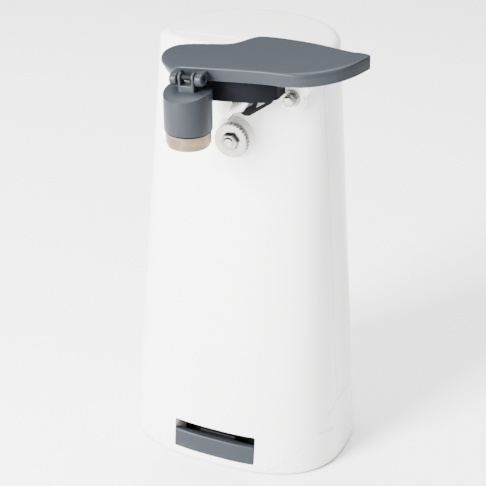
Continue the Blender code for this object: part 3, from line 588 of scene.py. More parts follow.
BASE_HALF_WIDTH, TOP_HALF_WIDTH = 66.2, 48.4
BASE_FRONT, TOP_FRONT = 49.7, 25.0
BASE_REAR, TOP_REAR = 49.7, 44.6
TOP_CENTRE_Y = 4.1
FRONT_POWERS, REAR_POWERS = (2.6, 2.78), (2.57, 2.11)
SEAM_YS = (-12.5, -8.5)
SKIRT_HEIGHT, SKIRT_TURN_Y, SKIRT_FALL, SKIRT_CURVE = 40.0, -11.0, 0.5, 0.016
LIFT, TOP_CROWN = 1.0, 0.7
PLAN_STEPS = 720


def tall():
    return settings().shell.height / MM


def plan_loop(z, inset=0.0):
    """The housing's plan at one height, from the middle of the front round by the right."""
    t = z / tall()
    half = mix(BASE_HALF_WIDTH, TOP_HALF_WIDTH, t) - inset
    angle = np.linspace(-math.pi / 2, 1.5 * math.pi, PLAN_STEPS + 1)
    c, s = np.cos(angle), np.sin(angle)
    rear = s > 0
    depth = np.where(rear, mix(BASE_REAR, TOP_REAR, t), mix(BASE_FRONT, TOP_FRONT, t)) - inset
    power = np.where(rear, mix(*REAR_POWERS, t), mix(*FRONT_POWERS, t))
    x = half * np.sign(c) * np.abs(c) ** (2 / power)
    y = TOP_CENTRE_Y * t + depth * np.sign(s) * np.abs(s) ** (2 / power)
    return np.column_stack((x, y))


def measured(loop, seam):
    """Distances along a plan loop, its whole length, and where it meets the seam on the right."""
    along = np.concatenate(([0.0], np.cumsum(np.linalg.norm(np.diff(loop, axis=0), axis=1))))
    pick = along <= along[-1] / 2
    return along, along[-1], np.interp(seam, loop[pick, 1], along[pick])


def front_points(z, inset, seam, shares):
    """Places round the front, from the right seam to the left one."""
    loop = plan_loop(z, inset)
    along, whole, start = measured(loop, seam)
    at = (start * (1 - 2 * np.asarray(shares))) % whole
    return np.column_stack([np.interp(at, along, loop[:, k]) for k in (0, 1)])


def rear_points(z, inset, seam, shares):
    """Places round the back, from the right seam to the left one."""
    loop = plan_loop(z, inset)
    along, whole, start = measured(loop, seam)
    at = mix(start, whole - start, np.asarray(shares))
    return np.column_stack([np.interp(at, along, loop[:, k]) for k in (0, 1)])


def seam_y(z):
    return mix(*SEAM_YS, z / tall())


def skirt_edge(y):
    forward = np.maximum(0.0, SKIRT_TURN_Y - y)
    return SKIRT_HEIGHT - SKIRT_FALL * forward - SKIRT_CURVE * forward**2


def foot_inset(z):
    """How far the rounded bottom edge is drawn in at this height."""
    radius = settings().shell.foot_rounding / MM
    low = np.clip(LIFT + radius - z, 0.0, radius)
    return radius - math.sqrt(max(radius**2 - low**2, 0.0))


def cap_rows(edge, seam, count):
    """Rows from the rounded top's edge straight back or forwards to the seam."""
    centre, half = TOP_CENTRE_Y, TOP_HALF_WIDTH - 4.0
    widest = int(np.argmax(edge[:len(edge) // 2, 0]))
    landing = edge[:, 0] * 0.94 * edge[0, 0] / edge[widest, 0]
    landing[:widest + 1] = np.linspace(edge[0, 0], landing[widest], widest + 1)
    landing[len(edge) - 1 - widest:] = -landing[:widest + 1][::-1]
    rows = []
    for k in range(1, count + 1):
        x = mix(edge[:, 0], landing, k / count)
        y = mix(edge[:, 1], seam, k / count)
        depth = np.where(y > centre, TOP_REAR - 4.0, TOP_FRONT - 4.0)
        reach = 1.03 * (np.abs(x / half) ** 2.4 + np.abs((y - centre) / depth) ** 2.4)
        z = tall() - TOP_CROWN + TOP_CROWN * np.clip(1 - reach, 0.0, 1.0) ** 0.8
        rows.append(np.column_stack((x, y, z)))
    return rows


def walls_up(points_at, low, rows):
    """Rows of places from the lower edge to the straight wall's top, then over the rounding."""
    rounding = settings().shell.top_rounding / MM
    straight = tall() - TOP_CROWN - rounding
    made = []
    heights = [0.0, 0.001, 0.0025, 0.0045, 0.007] + list(np.linspace(0.012, 1.0, rows))
    for t in heights:
        z = mix(low, straight, t)
        made.append(np.array([
            (*points_at(height, foot_inset(height), k), height) for k, height in enumerate(z)]))
    for k in range(1, 9):
        angle = math.pi / 2 * k / 8
        height = straight + rounding * math.sin(angle)
        inset = rounding * (1 - math.cos(angle))
        made.append(np.array([(*points_at(height, inset, j), height) for j in range(len(low))]))
    return made


def ring_lookup(points):
    """Remembers each height's ring, because every column asks for the same few."""
    kept = {}

    def at(z, inset, column):
        key = (round(float(z), 3), round(float(inset), 4))
        if key not in kept:
            kept[key] = points(float(z), float(inset))
        return kept[key][column]

    return at


def thickened(obj):
    """Turns a shell's faces outwards and gives them their wall."""
    bm = bmesh.new()
    bm.from_mesh(obj.data)
    middle = MIDDLE + Vector((0.0, 0.0, 0.1))
    outward = sum((face.calc_center_median() - middle).dot(face.normal) * face.calc_area()
                  for face in bm.faces)
    if outward < 0:
        bmesh.ops.reverse_faces(bm, faces=bm.faces)
    bm.to_mesh(obj.data)
    bm.free()
    modifier(obj, "SOLIDIFY", thickness=settings().shell.wall, offset=-1.0)
    return obj


def swept_edge(at, count, gap, lowest=LIFT):
    """Each column's height on the skirt's sweep, or the lowest height where the sweep is under it."""
    edge = np.full(count, SKIRT_HEIGHT)
    for _ in range(12):
        y = np.array([at(z, 0.0, k)[1] for k, z in enumerate(np.round(edge, 1))])
        edge = np.maximum(lowest, skirt_edge(y) + gap)
    return edge


def arc(cx, cz, radius, degrees):
    """Points at the given angles round a centre."""
    return [(cx + radius * math.cos(math.radians(turn)), cz + radius * math.sin(math.radians(turn)))
            for turn in degrees]


def rounded_box(x_low, x_high, z_low, z_high, radius):
    """A rounded rectangle's points in x and z."""
    made = []
    for cx, cz, start in ((x_high - radius, z_low + radius, -90), (x_high - radius, z_high - radius, 0),
                          (x_low + radius, z_high - radius, 90), (x_low + radius, z_low + radius, 180)):
        made += arc(cx, cz, radius, range(start, start + 91, 15))
    return made


def upright(name, outline, front, back, edge=0.0, segments=2, chamfer=0.0):
    """A solid with its outline in x and z and its thickness along y, its front face drawn in."""
    loops = []
    if chamfer:
        loops.append([(x, front, z) for x, z in drawn_in(outline, chamfer)])
        front += chamfer * 0.8
    loops += [[(x, front, z) for x, z in outline], [(x, back, z) for x, z in outline]]
    return prism(name, loops, edge, segments)


def drawn_in(outline, distance):
    """An anticlockwise outline moved inwards along its corners' bisectors."""
    made, count = [], len(outline)
    for k in range(count):
        before, here, after = (Vector(outline[(k + step) % count]) for step in (-1, 0, 1))
        one, two = (here - before).normalized(), (after - here).normalized()
        inward = Vector((-one.y - two.y, one.x + two.x))
        inward.normalize()
        turn = max(0.35, Vector((-one.y, one.x)).dot(inward))
        made.append(tuple(here + inward * distance / turn))
    return made


def hexagon(cx, cz, radius, start):
    return arc(cx, cz, radius, range(start, start + 360, 60))


# --- housing pieces ------------------------------------------------------------------------

SLOT_HALF, SLOT_LOW, SLOT_HIGH, SLOT_CORNER, LIP_HIGH = 25.3, 6.0, 24.0, 1.2, 17.6
SLOT_BACK, LINER_WALL = -30.0, 1.6
BUTTON_XY, BUTTON_BORE, HUB_BORE, WELL_BORE = (30.0, -13.5), 2.6, 5.8, 3.8
WHEEL_X, WHEEL_Z, WHEEL_FRONT = 4.6, 200.5, -31.6
STUD_X, STUD_Z, STUD_FRONT, STUD_FOOT = 35.0, 225.9, -28.3, -22.3
PIVOT = (-16.0, -40.0, 234.0)
CASE_POSTS = ((-39.0, 219.0), (39.0, 219.0), (-43.0, 70.0), (43.0, 70.0))
CASE_SCREW_SEAT = 24.3
GEARBOX_POSTS, GEARBOX_SEAT = ((-16.0, 213.0), (22.0, 213.0), (-16.0, 110.0), (22.0, 110.0)), -16.2
BASE_SCREWS, BASE_SCREW_SEAT = ((-52.0, -12.0), (52.0, -12.0), (-28.0, 34.0), (28.0, 34.0)), 2.5
FEET = ((-42.0, -26.0), (42.0, -26.0), (-42.0, 26.0), (42.0, 26.0))
CORD_INLET_Z, CORD_INLET_BORE = 16.0, 5.6
BOSS_LOBES, BOSS_MIDDLE = ((STUD_X - 0.3, STUD_Z - 0.5, 6.6), (38.0, 233.2, 6.0)), (36.3, 229.4)


def shell_rows(points, count, gap_side, low_of):
    """A housing half: up the wall, over the rounding and across the top to the seam."""
    s = settings().shell
    shares = np.linspace(0.0, 1.0, count + 1)
    half_gap = s.seam / MM / 2 * gap_side
    at = ring_lookup(lambda z, inset: points(z, inset, seam_y(z) + half_gap, shares))
    rows = walls_up(at, low_of(at, count + 1, s.seam / MM / 2), s.rows)
    return rows + cap_rows(rows[-1], seam_y(tall()) + half_gap, 12)


def make_front_shell():
    s = settings().shell
    rows = shell_rows(front_points, s.columns, -1, swept_edge)
    shell = thickened(grid("front_shell", rows, weld=1e-4))
    slot = upright("slot_cutter", rounded_box(-SLOT_HALF, SLOT_HALF, SLOT_LOW, SLOT_HIGH, SLOT_CORNER),
                   -70.0, -35.0)
    button = rod((*BUTTON_XY, 240.0), (*BUTTON_XY, 256.0), BUTTON_BORE)
    hub = rod((WHEEL_X, -40.0, WHEEL_Z), (WHEEL_X, -12.0, WHEEL_Z), HUB_BORE)
    for helper in (slot, button, hub):
        boolean(shell, helper, "DIFFERENCE")
    soften(shell, s.edge / MM, 2, 50.0)
    piece(shell, "housing", "glossy_white", "housing_white", "front_housing", helpers=(slot, button, hub))


def boss_loop(reach):
    """A figure-eight outline at a distance from the two lobes behind the guide stud."""
    cx, cz = BOSS_MIDDLE
    made = []
    for angle in np.linspace(0.0, 2 * math.pi, 96, endpoint=False):
        low, high = 0.0, 20.0
        for _ in range(30):
            r = (low + high) / 2
            x, z = cx + r * math.cos(angle), cz + r * math.sin(angle)
            near = [math.hypot(x - lx, z - lz) - radius for lx, lz, radius in BOSS_LOBES]
            blend = -math.log(sum(math.exp(-d / 0.5) for d in near)) * 0.5
            low, high = (r, high) if blend < reach else (low, r)
        made.append((cx + r * math.cos(angle), cz + r * math.sin(angle)))
    return made


def make_bosses():
    """Light bosses that stand out of the front shell: wheel hub, guide stud and pivot."""
    front = STUD_FOOT + 0.3
    steps = ((-0.9, 0.0), (-0.35, 0.12), (-0.05, 0.45), (0.05, 1.0), (0.3, 1.9), (1.0, 2.6), (1.0, 5.5),
             (-0.6, 10.8))
    stud = prism("stud_boss", [[(x, front + y, z) for x, z in boss_loop(reach)] for reach, y in steps])
    hub = turned("hub_boss", [(HUB_BORE, 0.0), (9.8, 0.0), (10.25, 0.15), (10.5, 0.6), (10.7, 1.0),
                              (11.6, 1.8), (11.6, 5.0), (HUB_BORE, 5.0)],
                 (WHEEL_X, -27.7, WHEEL_Z), TO_REAR, 96)
    pivot = turned("pivot_boss", [(3.3, 0.0), (5.7, 0.0), (6.1, 0.4), (6.3, 1.0), (7.2, 2.0), (7.2, 6.0),
                                  (3.3, 6.0)], (PIVOT[0], -25.2, PIVOT[2]), TO_REAR, 64)
    for boss in (stud, hub, pivot):
        piece(boss, "housing", "glossy_white", "housing_white")


def vent_tree():
    """Rows of one cutter, counted and pitched up the back."""
    tree, group, add = node_tree("vent_rows", (
        ("Count", "Int", 6), ("Pitch", "Float", 0.007), ("Material", "Material", None)))
    lift = add("ShaderNodeCombineXYZ", None, {"Z": group.outputs["Pitch"]})
    line = add("GeometryNodeMeshLine", {"mode": "OFFSET"}, {
        "Count": group.outputs["Count"], "Offset": lift.outputs[0]})
    points = add("GeometryNodeMeshToPoints", None, {"Mesh": line.outputs[0]})
    copies = add("GeometryNodeInstanceOnPoints", None, {
        "Points": points.outputs[0], "Instance": group.outputs["Geometry"]})
    close_tree(add, copies.outputs[0], group.outputs["Material"])
    return tree


def make_rear_shell():
    s = settings().shell
    rows = shell_rows(rear_points, s.columns, 1,
                      lambda at, count, gap: np.full(count, SKIRT_HEIGHT + gap))
    shell = thickened(grid("rear_shell", rows, weld=1e-4))
    vents = upright("vent_cutter", rounded_box(-17.0, 17.0, 98.0, 100.6, 1.25), 35.0, 60.0)
    nodes = modifier(vents, "NODES", node_group=vent_tree())
    nodes[nodes.node_group.interface.items_tree["Material"].identifier] = finish("glossy_white")
    settled(vents)
    wells = [rod((x, 10.0, z), (x, 60.0, z), WELL_BORE) for x, z in CASE_POSTS]
    for helper in (vents, *wells):
        boolean(shell, helper, "DIFFERENCE")
    soften(shell, s.edge / MM, 2, 50.0)
    piece(shell, "housing", "glossy_white", "housing_white", "rear_cover", helpers=(vents, *wells))
    collar = [(WELL_BORE, 0.0), (4.4, 0.0), (4.4, 2.2), (WELL_BORE, 2.2)]
    tube = at_origin(turned("tube", collar, (0, 0, 0), TO_REAR, 48))
    tubes = repeated("screw_wells", tube, [place(x, 24.0, z) for x, z in CASE_POSTS], "glossy_white")
    piece(tubes, "housing", "glossy_white", "housing_white")


def make_skirt_shell():
    s = settings().shell
    gap, tip = s.seam / MM / 2, -46.8
    count = s.columns * 3 // 2
    shares = np.linspace(0.0, 1.0, count + 1)
    at = ring_lookup(lambda z, inset: rear_points(z, inset, tip, shares))
    top = swept_edge(at, count + 1, -gap, LIFT + 0.4)
    rows = []
    for t in (0.0, 0.006, 0.014, 0.025, 0.045, *np.linspace(0.08, 1.0, 16)):
        heights = mix(LIFT, top, t)
        rows.append([(*at(z, foot_inset(z), k), z) for k, z in enumerate(heights)])
    shell = thickened(grid("skirt_shell", rows, weld=1e-4))
    inlet = rod((0.0, 40.0, CORD_INLET_Z), (0.0, 60.0, CORD_INLET_Z), CORD_INLET_BORE)
    boolean(shell, inlet, "DIFFERENCE")
    soften(shell, s.edge / MM, 2, 50.0)
    piece(shell, "housing", "glossy_white", "housing_white", "base_skirt", helpers=(inlet,))


def four(name):
    """The frame's names of four like parts."""
    return [f"{name}_{number}" for number in range(1, 5)]


def make_foot_pieces():
    """Rubber feet and the rubber bush in the cord inlet."""
    profile = [(0.0, 0.0), (5.6, 0.0), (6.6, 0.12), (6.9, 0.45), (7.0, 1.0), (4.2, 1.0), (4.2, 0.9),
               (0.0, 0.9)]
    foot = at_origin(turned("foot", profile[::-1], (0, 0, 0)))
    feet = repeated("rubber_feet", foot, [place(x, y, 0.0) for x, y in FEET], "soft_rubber")
    piece(feet, "housing", "soft_rubber", "foot_rubber", *four("rubber_foot"))
    t = CORD_INLET_Z / tall()
    back = mix(BASE_REAR, TOP_REAR, t) + TOP_CENTRE_Y * t
    ring = [(5.2, 6.5), (5.2, 2.7), (6.9, 2.7), (7.2, 2.4), (7.2, 0.9), (6.9, 0.3), (6.2, 0.0), (4.0, 0.0),
            (3.5, 0.4), (3.4, 1.0), (3.4, 6.5)]
    bush = turned("inlet_bush", ring, (0.0, back + 2.9, CORD_INLET_Z), (0, -1, 0))
    piece(bush, "housing", "soft_rubber", "foot_rubber", "cord_inlet_bush")


def pan_screw(name, head, high, shank, long):
    """A cross-recessed pan-head screw with its head's seat at the origin, its head towards +Y."""
    dome = [(0.0, high), (head * 0.45, high * 0.97), (head * 0.78, high * 0.75), (head * 0.95, high * 0.4),
            (head, 0.05), (head * 0.98, 0.0), (shank, 0.0), (shank, -long + 1.0), (0.2, -long),
            (0.0, -long)]
    made = turned(name, dome, (0, 0, 0), TO_REAR, 32)
    arms = [block((-x, high - 0.9, -z), (x, high + 1.0, z))
            for x, z in ((head * 0.5, 0.3), (0.3, head * 0.5))]
    for arm in arms:
        boolean(made, arm, "DIFFERENCE")
    return at_origin(settled(made, arms))


def make_screws():
    """The case screws down their wells, the screws in the base plate and those of the gearbox."""
    master = pan_screw("case_screw", 3.3, 1.9, 1.45, 15.0)
    case = repeated("case_screws", master, [place(x, CASE_SCREW_SEAT, z) for x, z in CASE_POSTS], "dull_zinc")
    piece(case, "housing", "dull_zinc", "zinc_plate", *four("case_screw"))
    master = pan_screw("base_screw", 3.2, 1.2, 1.5, 9.4)
    master.data.transform(Matrix.Rotation(math.radians(-90), 4, "X"))
    base = repeated("base_screws", master, [place(x, y, BASE_SCREW_SEAT) for x, y in BASE_SCREWS],
                    "dull_zinc")
    piece(base, "housing", "dull_zinc", "zinc_plate", *four("base_screw"))
    shank = GEARBOX_SEAT - front_y(*GEARBOX_POSTS[1]) - 1.0
    master = pan_screw("gearbox_screw", 3.0, 1.6, 1.2, shank)
    inner = repeated("gearbox_screws", master, [place(x, GEARBOX_SEAT, z) for x, z in GEARBOX_POSTS],
                     "dull_zinc")
    piece(inner, "housing", "dull_zinc", "zinc_plate", *four("gearbox_screw"))


def front_y(x, z, proud=0.0):
    """The y of the housing's front face at one x and height, or of a surface proud of it."""
    loop = plan_loop(z, -proud)
    pick = (loop[:, 1] < 0) & (loop[:, 0] >= 0)
    order = np.argsort(loop[pick, 0])
    return float(np.interp(abs(x), loop[pick, 0][order], loop[pick, 1][order]))


def make_opener_slot():
    """The grey lip across the slot, the light cheeks beside it, and the roof, floor and back behind, painted
    near-black as painted shade.
    """
    low, high = SLOT_LOW + 0.3, LIP_HIGH
    loops = []
    for x in np.linspace(0.3 - SLOT_HALF, SLOT_HALF - 0.3, 61):
        top = front_y(x, high, 0.5)
        loops.append([(x, front_y(x, z, 0.5), z) for z in (low, (low + high) / 2, high - 0.7)])
        loops[-1] += [(x, top + 0.2, high - 0.2), (x, top + 0.7, high), (x, -44.7, high),
                      (x, -44.4, high - 1.3), (x, -42.3, high - 1.3), (x, -42.3, low)]
    lip = prism("slot_lip", loops, 0.25)
    piece(lip, "housing", "lever_grey", "lever_grey", "opener_lip")
    for side, name in ((-1, "left"), (1, "right")):
        edges = sorted((side * (SLOT_HALF + LINER_WALL), side * SLOT_HALF))
        cheek = block((edges[0], -43.4, SLOT_LOW - 1.5), (edges[1], SLOT_BACK, SLOT_HIGH + 1.5),
                      f"slot_cheek_{name}")
        piece(soften(cheek, 0.3), "housing", "glossy_white", "housing_white")
    # Roof and floor are white moulding, painted near-black here as painted shade.
    for name, low, high in (("slot_roof", SLOT_HIGH + 0.05, SLOT_HIGH + 1.5),
                            ("slot_floor", SLOT_LOW - 1.5, SLOT_LOW - 0.05)):
        loops = []
        for x in np.linspace(-SLOT_HALF, SLOT_HALF, 33):
            front = front_y(x, low) + 2.3
            loops.append([(x, front, low), (x, front, high), (x, SLOT_BACK, high), (x, SLOT_BACK, low)])
        piece(prism(name, loops, 0.15, 1), "housing", "dark_slot", "housing_white")
    inner = SLOT_HALF - 0.1
    # The back wall is painted near-black as painted shade too.
    back = block((-inner, SLOT_BACK - LINER_WALL, SLOT_LOW), (inner, SLOT_BACK, SLOT_HIGH), "slot_back")
    piece(soften(back, 0.15), "housing", "dark_slot", "housing_white", "opener_pocket")


# --- lever pieces --------------------------------------------------------------------------

LEVER_TILT, LEVER_PITCH = math.atan(0.088), math.atan(0.09)
LEVER_FRONT_Y, LEVER_EDGE_Z = -52.0, 247.4
LEVER_OUTLINE = (
    (-17.0, 0.2), (-2.0, 0.0), (14.0, 0.0), (30.0, -0.3), (43.0, -1.4), (52.0, -0.8), (60.5, 2.8),
    (67.5, 8.0), (73.0, 15.2), (76.6, 23.0), (77.4, 25.6), (75.8, 27.4), (69.0, 29.6), (59.0, 33.0),
    (46.7, 37.4), (34.6, 40.5), (22.7, 42.7), (15.0, 43.3), (10.6, 42.4), (6.8, 38.8), (3.6, 34.6),
    (-1.0, 31.8), (-9.5, 30.7), (-17.5, 29.9), (-25.0, 28.3), (-30.2, 24.8), (-32.2, 18.8), (-30.4, 11.8),
    (-25.0, 5.0),
)
MAGNET_HINGE = (-7.2, -57.0, 243.0)
EAR_WIDTH, EAR_SPACING = 4.0, 13.8


def smooth_loop(points, per):
    made, count = [], len(points)
    for i in range(count):
        p0, p1, p2, p3 = (Vector(points[(i + k) % count]) for k in (-1, 0, 1, 2))
        for step in range(per):
            t = step / per
            made.append(tuple(0.5 * (2 * p1 + (p2 - p0) * t + (2 * p0 - 5 * p1 + 4 * p2 - p3) * t**2
                                     + (3 * p1 - p0 - 3 * p2 + p3) * t**3)))
    return made


def ramp(value, low, high):
    """Smoothly from 0 at low to 1 at high."""
    t = min(1.0, max(0.0, (value - low) / (high - low)))
    return t * t * (3 - 2 * t)


def lever_frame():
    spot = Matrix.Translation(place(0.0, LEVER_FRONT_Y, LEVER_EDGE_Z))
    return spot @ Matrix.Rotation(-LEVER_TILT, 4, "Y")


def plate_frame():
    return lever_frame() @ Matrix.Rotation(LEVER_PITCH, 4, "X")


def lever_edge(x, y):
    """(edge rounding, side wall's height) at one point of the lever's outline."""
    s = settings().lever
    at_front = (1 - ramp(y, 1.0, 4.0)) * ramp(x, -20.0, -14.0) * (1 - ramp(x, 40.0, 52.0))
    at_tip = ramp(x, 66.0, 73.0)
    rounding = mix(s.soft, s.crisp, max(at_front, at_tip)) / MM
    deep = mix(s.skirt, s.plate, ramp(y, 24.6, 26.6)) / MM
    between = ramp(x, -13.4, -11.4) * (1 - ramp(x, -3.4, -1.6)) * (1 - ramp(y, 1.0, 3.0))
    deep -= 1.3 * between
    return min(rounding, deep * 0.8), deep


def make_lever_cover():
    """The lever: flat top, soft side wall that stops where it passes over the housing, two ears."""
    loop = smooth_loop(LEVER_OUTLINE, 12)
    count = len(loop)
    inward = []
    for k in range(count):
        along = (Vector(loop[(k + 1) % count]) - Vector(loop[k - 1])).normalized()
        inward.append(Vector((-along.y, along.x)))
    rows = []
    for share, lift in ((0.0, 0.0), (0.04, 0.12), (0.5, 0.5), (1.0, 1.0)):
        row = []
        for point, normal in zip(loop, inward):
            rounding, deep = lever_edge(*point)
            draft = mix(0.35, 1.9, 1 - ramp(point[0], -27.0, -15.0)) * (1 - lift)
            draft += 0.22 if share == 0.0 else 0.0
            flat = Vector(point) + normal * draft
            row.append((flat.x, flat.y, mix(-deep, -rounding, share)))
        rows.append(row)
    for k in range(1, 8):
        angle = math.pi / 2 * k / 7
        row = []
        for point, normal in zip(loop, inward):
            rounding, _ = lever_edge(*point)
            flat = Vector(point) + normal * rounding * (1 - math.cos(angle))
            row.append((flat.x, flat.y, -rounding + rounding * math.sin(angle)))
        rows.append(row)
    cover = grid("cover", rows, around=True, cap_last=True, matrix=plate_frame())
    top = max(cover.data.polygons, key=lambda face: len(face.vertices))
    if (plate_frame().to_3x3() @ Vector((0, 0, 1))).dot(top.normal) < 0:
        cover.data.flip_normals()
    modifier(cover, "SOLIDIFY", thickness=settings().lever.wall, offset=-1.0)
    ears = [ear(-1), ear(1)]
    lever = joined([cover, *ears], "lever_cover")
    piece(lever, "lever", "lever_grey", "lever_grey", "lever_plate", sharp=40.0)


def hinge_frame():
    """Local X along the magnet holder's hinge, Y to the rear, Z up."""
    return Matrix.Translation(place(*MAGNET_HINGE)) @ Matrix.Rotation(-LEVER_TILT, 4, "Y")


def ear(side):
    """A finger that hangs from the front edge and holds one end of the hinge pin."""
    outline = [(9.0, 2.3), (-0.4, 2.3)]
    outline += arc(-0.2, -0.9, 3.3, range(105, 271, 11))
    outline += [(2.2, -3.9), (5.6, -2.4), (9.0, -1.5)]
    middle = side * EAR_SPACING / 2
    loops = [[(middle + x, y, z) for y, z in outline] for x in (-EAR_WIDTH / 2, EAR_WIDTH / 2)]
    return prism("ear", loops, 0.8, 4, hinge_frame())


def make_blade_carrier():
    outline = ((-16.0, 12.0), (-10.0, 7.5), (20.5, 7.5), (30.0, 13.2), (31.5, 15.5), (31.5, 25.5),
               (-16.0, 25.5))
    loops = [[(x, y, z) for x, y in outline] for z in (-20.0, -3.1)]
    carrier = prism("blade_block", loops, matrix=lever_frame())
    hollow = ((2.0, 20.5), (17.8, 20.5), (17.8, 22.6), (27.4, 22.6), (27.4, 40.0), (2.0, 40.0))
    pocket = prism("pocket", [[(x, y, z) for x, y in hollow] for z in (-30.0, -13.5)], matrix=lever_frame())
    x, _, z = PIVOT
    knuckle = rod((x, -40.0, z), (x, -26.5, z), 7.2, 64)
    bore = rod((x, -60.0, z), (x, -10.0, z), 3.3)
    counterbore = rod((x, -60.0, z), (x, -40.3, z), 5.3)
    boolean(carrier, knuckle, "UNION")
    for helper in (bore, counterbore, pocket):
        boolean(carrier, helper, "DIFFERENCE")
    soften(carrier, 0.9, 3, 32.0)
    piece(carrier, "lever", "carrier_dark", "carrier_dark", "blade_carrier",
          helpers=(knuckle, bore, counterbore, pocket))


def make_cutting_blade():
    """A bright angled strip with a ground point, and the dark fork behind it."""
    outline = ((1.0, 214.2), (2.9, 211.4), (6.4, 215.8), (11.3, 217.6), (14.2, 222.4), (17.0, 227.6),
               (17.0, 232.6), (5.0, 232.6), (4.4, 221.6))
    blade = upright("cutting_edge", outline, -31.2, -29.4, 0.08, 1, chamfer=0.7)
    piece(blade, "lever", "ground_blade", "bright_steel", "cutting_blade")
    outer = ((8.6, 216.4), (11.6, 215.0), (14.2, 215.2), (26.6, 224.2), (27.0, 234.8), (18.2, 234.8),
             (18.0, 223.6), (15.6, 221.6))
    fork = upright("rim_fork", outer, -29.1, -26.9)
    hole = upright("fork_hole", ((17.4, 219.8), (23.6, 224.0), (18.6, 223.4)), -40.0, -20.0)
    boolean(fork, hole, "DIFFERENCE")
    soften(fork, 0.35, 2)
    piece(fork, "lever", "black_plastic", "black_plastic", "rim_guide", helpers=(hole,))


# --- lid holder ----------------------------------------------------------------------------

MAGNET_X, MAGNET_Y = MAGNET_HINGE[:2]
HOLDER_R, HOLDER_LOW, HOLDER_TOP, HOLDER_FRONT_TOP = 12.4, 215.6, 236.6, 233.8
CUP_R, CUP_LOW, CUP_HIGH = 11.6, 207.4, 215.3


def make_holder():
    """The grey cylinder with its sloping shoulder and the tongue that hangs on the hinge pin."""
    profile = [(6.3, HOLDER_LOW), (HOLDER_R - 0.6, HOLDER_LOW), (HOLDER_R - 0.15, HOLDER_LOW + 0.2),
               (HOLDER_R, HOLDER_LOW + 0.7), (HOLDER_R, HOLDER_TOP), (0.0, HOLDER_TOP),
               (0.0, HOLDER_LOW + 2.5), (6.3, HOLDER_LOW + 2.5)]
    holder = turned("holder", profile, (MAGNET_X, MAGNET_Y, 0.0), steps=128)
    shoulder = Matrix.Translation(place(MAGNET_X, MAGNET_Y - HOLDER_R, HOLDER_FRONT_TOP))
    shoulder = shoulder @ Matrix.Rotation(-LEVER_TILT, 4, "Y") @ Matrix.Rotation(math.radians(14.0), 4, "X")
    square = ((-40, -40), (40, -40), (40, 40), (-40, 40))
    wedge = prism("wedge", [[(x, y, z) for x, y in square] for z in (0.0, 30.0)], matrix=shoulder)
    boolean(holder, wedge, "DIFFERENCE")
    soften(holder, 0.45, 3, 25.0)
    neck_half = (EAR_SPACING - EAR_WIDTH) / 2 - 0.5
    outline = arc(0.0, 0.0, 2.7, range(-20, 201, 10))
    outline += [(-3.2, -9.0), (3.2, -9.0)]
    tongue = prism("tongue", [[(x, y, z) for y, z in outline] for x in (-neck_half, neck_half)],
                   matrix=hinge_frame())
    opening = ((-2.9, -9), (2.9, -9), (2.9, 9), (-2.9, 9))
    gap = prism("gap", [[(x, y, z) for x, y in opening] for z in (-3.6, 9.0)], matrix=hinge_frame())
    boolean(tongue, gap, "DIFFERENCE")
    soften(tongue, 0.4, 2)
    body = joined([settled(holder, (wedge,)), settled(tongue, (gap,))], "lid_holder")
    piece(body, "magnet", "lever_grey", "lever_grey", "magnet_holder")


def make_magnet():
    high = CUP_HIGH - CUP_LOW
    profile = [(5.9, high + 2.2), (5.9, high), (CUP_R - 0.4, high), (CUP_R, high - 0.4), (CUP_R, 1.9),
               (CUP_R - 0.15, 1.65), (CUP_R - 0.7, 1.5), (CUP_R - 0.7, 0.35), (CUP_R - 0.95, 0.0), (8.6, 0.0),
               (8.6, 5.2), (0.0, 5.2), (0.0, high + 2.2)]
    cup = turned("magnet_ring", profile, (MAGNET_X, MAGNET_Y, CUP_LOW), steps=128)
    piece(cup, "magnet", "turned_nickel", "magnet_nickel", "magnet_cup")
    disc = turned("magnet_face", [(0.0, 4.6), (8.2, 4.6), (8.2, 0.3), (7.9, 0.0), (0.0, 0.0)],
                  (MAGNET_X, MAGNET_Y, CUP_LOW + 0.3), steps=96)
    piece(disc, "magnet", "ground_ceramic", "ferrite", "magnet_disc")


# --- drive and guide -----------------------------------------------------------------------


def make_drive():
    """The toothed wheel on its spindle with its nut, and the bronze bush round the spindle."""
    s = settings().wheel
    radius, tooth = s.radius / MM, s.tooth / MM
    root = radius - tooth
    disc = turned("drive_disc", [(3.3, 0.0), (root - 0.2, 0.0), (root, 0.15), (root, 3.25), (root - 0.2, 3.4),
                                 (3.3, 3.4)], (WHEEL_X, WHEEL_FRONT, WHEEL_Z), TO_REAR, 120)
    piece(disc, "drive", "bright_steel", "bright_steel", "drive_wheel")
    width = 2 * math.pi * root / s.teeth
    section = [(root - 0.5, -width * 0.5), (root, -width * 0.46), (radius - 0.08, -width * 0.10),
               (radius - 0.08, width * 0.10), (root, width * 0.46), (root - 0.5, width * 0.5)]
    master = prism("tooth", [[(x, y, z) for x, z in section] for y in (0.05, 3.35)], 0.07, 1)
    master = at_origin(settled(master))
    teeth = repeated("drive_teeth", master, [place(WHEEL_X, WHEEL_FRONT, WHEEL_Z)] * s.teeth, "bright_steel",
                     (0.0, 2 * math.pi / s.teeth, 0.0))
    piece(teeth, "drive", "bright_steel", "bright_steel")
    nut = upright("hub_nut", hexagon(WHEEL_X, WHEEL_Z, 5.0, 8), WHEEL_FRONT - 2.4, WHEEL_FRONT - 0.3, 0.25,
                  chamfer=0.5)
    piece(nut, "drive", "dull_zinc", "zinc_plate", "wheel_nut")
    spindle = turned("spindle", [(0.0, 0.0), (2.3, 0.0), (3.0, 0.6), (3.0, 37.5), (0.0, 37.5)],
                     (WHEEL_X, WHEEL_FRONT - 3.0, WHEEL_Z), TO_REAR, 64)
    piece(spindle, "drive", "bright_steel", "bright_steel", "drive_spindle")
    bush = turned("hub_bush", [(3.3, 0.0), (5.1, 0.0), (5.4, 0.3), (5.4, 9.1), (3.3, 9.1)],
                  (WHEEL_X, -27.9, WHEEL_Z), TO_REAR, 64)
    piece(bush, "housing", "sintered_bronze", "bush_bronze", "spindle_bush")


